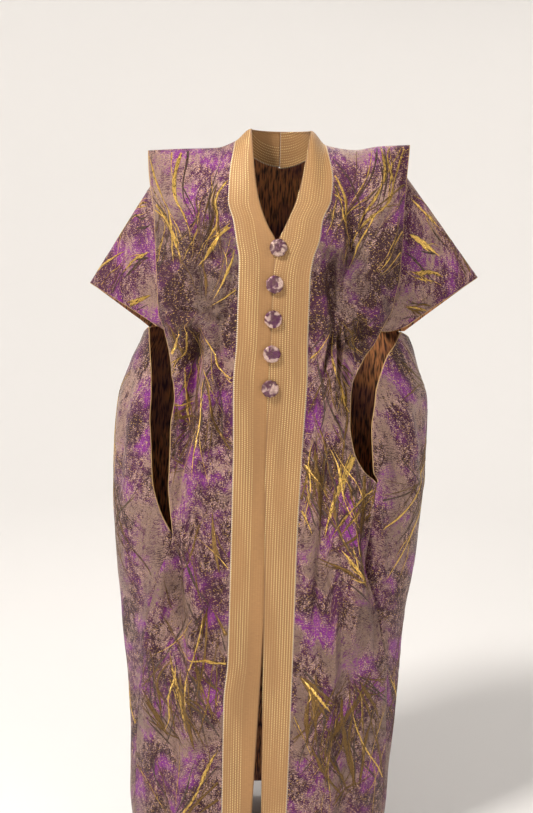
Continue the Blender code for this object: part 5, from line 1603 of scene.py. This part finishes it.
class BOUBOU_OT_stage(bpy.types.Operator):
    """Make the pale floor, the soft studio light and the camera"""

    bl_idname = "boubou.stage"
    bl_label = "Stage"

    def execute(self, context):
        stage = context.scene.boubou_stage
        floor = HEM - stage.floor_gap
        bm = bmesh.new()
        segments, rings = 96, 24
        profile = [(BOWL_FLAT * k / 8, 0.0) for k in range(1, 9)]
        profile += [(BOWL_FLAT + BOWL_BEND * math.sin(a), BOWL_BEND * (1.0 - math.cos(a)))
                    for a in (math.pi / 2 * k / rings for k in range(1, rings + 1))]
        profile.append((BOWL_FLAT + BOWL_BEND, BOWL_BEND + BOWL_RISE))
        bmesh.ops.create_grid(bm, x_segments=segments, y_segments=len(profile) - 1, size=1.0)
        for vert in bm.verts:
            turn = (vert.co.x + 1.0) * math.pi
            radius, height = profile[round((vert.co.y + 1.0) / 2.0 * (len(profile) - 1))]
            vert.co = (radius * math.cos(turn), radius * math.sin(turn), floor + height)
        bmesh.ops.remove_doubles(bm, verts=bm.verts, dist=1e-4)
        centre = [edge for edge in bm.edges
                  if edge.is_boundary and edge.verts[0].co.xy.length < BOWL_FLAT / 7]
        bmesh.ops.contextual_create(bm, geom=centre)
        bmesh.ops.recalc_face_normals(bm, faces=bm.faces)
        mesh = bpy.data.meshes.new("studio_floor")
        bm.to_mesh(mesh)
        bm.free()
        mesh.shade_smooth()
        mesh.materials.append(stage_material())
        bowl = bpy.data.objects.new("studio_floor", mesh)
        context.scene.collection.objects.link(bowl)

        for name, place, size, power in LIGHTS:
            data = bpy.data.lights.new(name, "AREA")
            data.shape = "RECTANGLE"
            data.size, data.size_y = size
            data.energy = power
            data.color = LAMP_COLOUR
            lamp = bpy.data.objects.new(name, data)
            context.scene.collection.objects.link(lamp)
            lamp.location = place
            aim = Vector(LIGHT_AIM) - Vector(place)
            lamp.rotation_euler = aim.to_track_quat("-Z", "Y").to_euler()
        world = bpy.data.worlds.new("pale_room")
        world.use_nodes = True
        world.node_tree.nodes["Background"].inputs["Color"].default_value = ROOM_COLOUR
        world.node_tree.nodes["Background"].inputs["Strength"].default_value = WORLD_STRENGTH
        context.scene.world = world
        context.scene.view_settings.view_transform = "Standard"

        data = bpy.data.cameras.new("camera")
        data.lens = stage.lens
        data.sensor_width = 36.0
        data.clip_start, data.clip_end = 0.1, 50.0
        camera = bpy.data.objects.new("camera", data)
        context.scene.collection.objects.link(camera)
        tilt, roll = math.radians(CAMERA_TILT), math.radians(CAMERA_ROLL)
        forward = Vector((0.0, math.cos(tilt), -math.sin(tilt)))
        level, upright = Vector((1.0, 0.0, 0.0)), Vector((0.0, math.sin(tilt), math.cos(tilt)))
        right = level * math.cos(roll) + upright * math.sin(roll)
        up = upright * math.cos(roll) - level * math.sin(roll)
        camera.matrix_world = Matrix.Translation((CAMERA_X, -stage.distance, CAMERA_Z)) @ Matrix(
            (right, up, -forward)).transposed().to_4x4()
        context.scene.camera = camera
        return {"FINISHED"}


class BOUBOU_PT_panel(bpy.types.Panel):
    """The robe's sizes, colours and pieces"""

    bl_idname = "BOUBOU_PT_panel"
    bl_label = "Grand Boubou"
    bl_space_type = "VIEW_3D"
    bl_region_type = "UI"
    bl_category = "Boubou"

    def draw(self, context):
        for group in (context.scene.boubou_cloth, context.scene.boubou_colours, context.scene.boubou_stage):
            box = self.layout.box()
            for name in group.__annotations__:
                box.prop(group, name)
        for operator in OPERATORS:
            self.layout.operator(operator.bl_idname)


OPERATORS = (BOUBOU_OT_materials, BOUBOU_OT_fronts, BOUBOU_OT_back, BOUBOU_OT_sleeves, BOUBOU_OT_bands,
             BOUBOU_OT_buttons, BOUBOU_OT_stage)
CLASSES = (BoubouCloth, BoubouColours, BoubouStage, *OPERATORS, BOUBOU_PT_panel)


def register():
    for cls in CLASSES:
        bpy.utils.register_class(cls)
    bpy.types.Scene.boubou_cloth = bpy.props.PointerProperty(type=BoubouCloth)
    bpy.types.Scene.boubou_colours = bpy.props.PointerProperty(type=BoubouColours)
    bpy.types.Scene.boubou_stage = bpy.props.PointerProperty(type=BoubouStage)


def unregister():
    del bpy.types.Scene.boubou_stage
    del bpy.types.Scene.boubou_colours
    del bpy.types.Scene.boubou_cloth
    for cls in reversed(CLASSES):
        bpy.utils.unregister_class(cls)


def main():
    register()
    bpy.ops.boubou.materials()
    bpy.ops.boubou.fronts()
    bpy.ops.boubou.back()
    bpy.ops.boubou.sleeves()
    bpy.ops.boubou.bands()
    bpy.ops.boubou.buttons()
    bpy.ops.boubou.stage()
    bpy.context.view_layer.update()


if __name__ == "__main__":
    main()
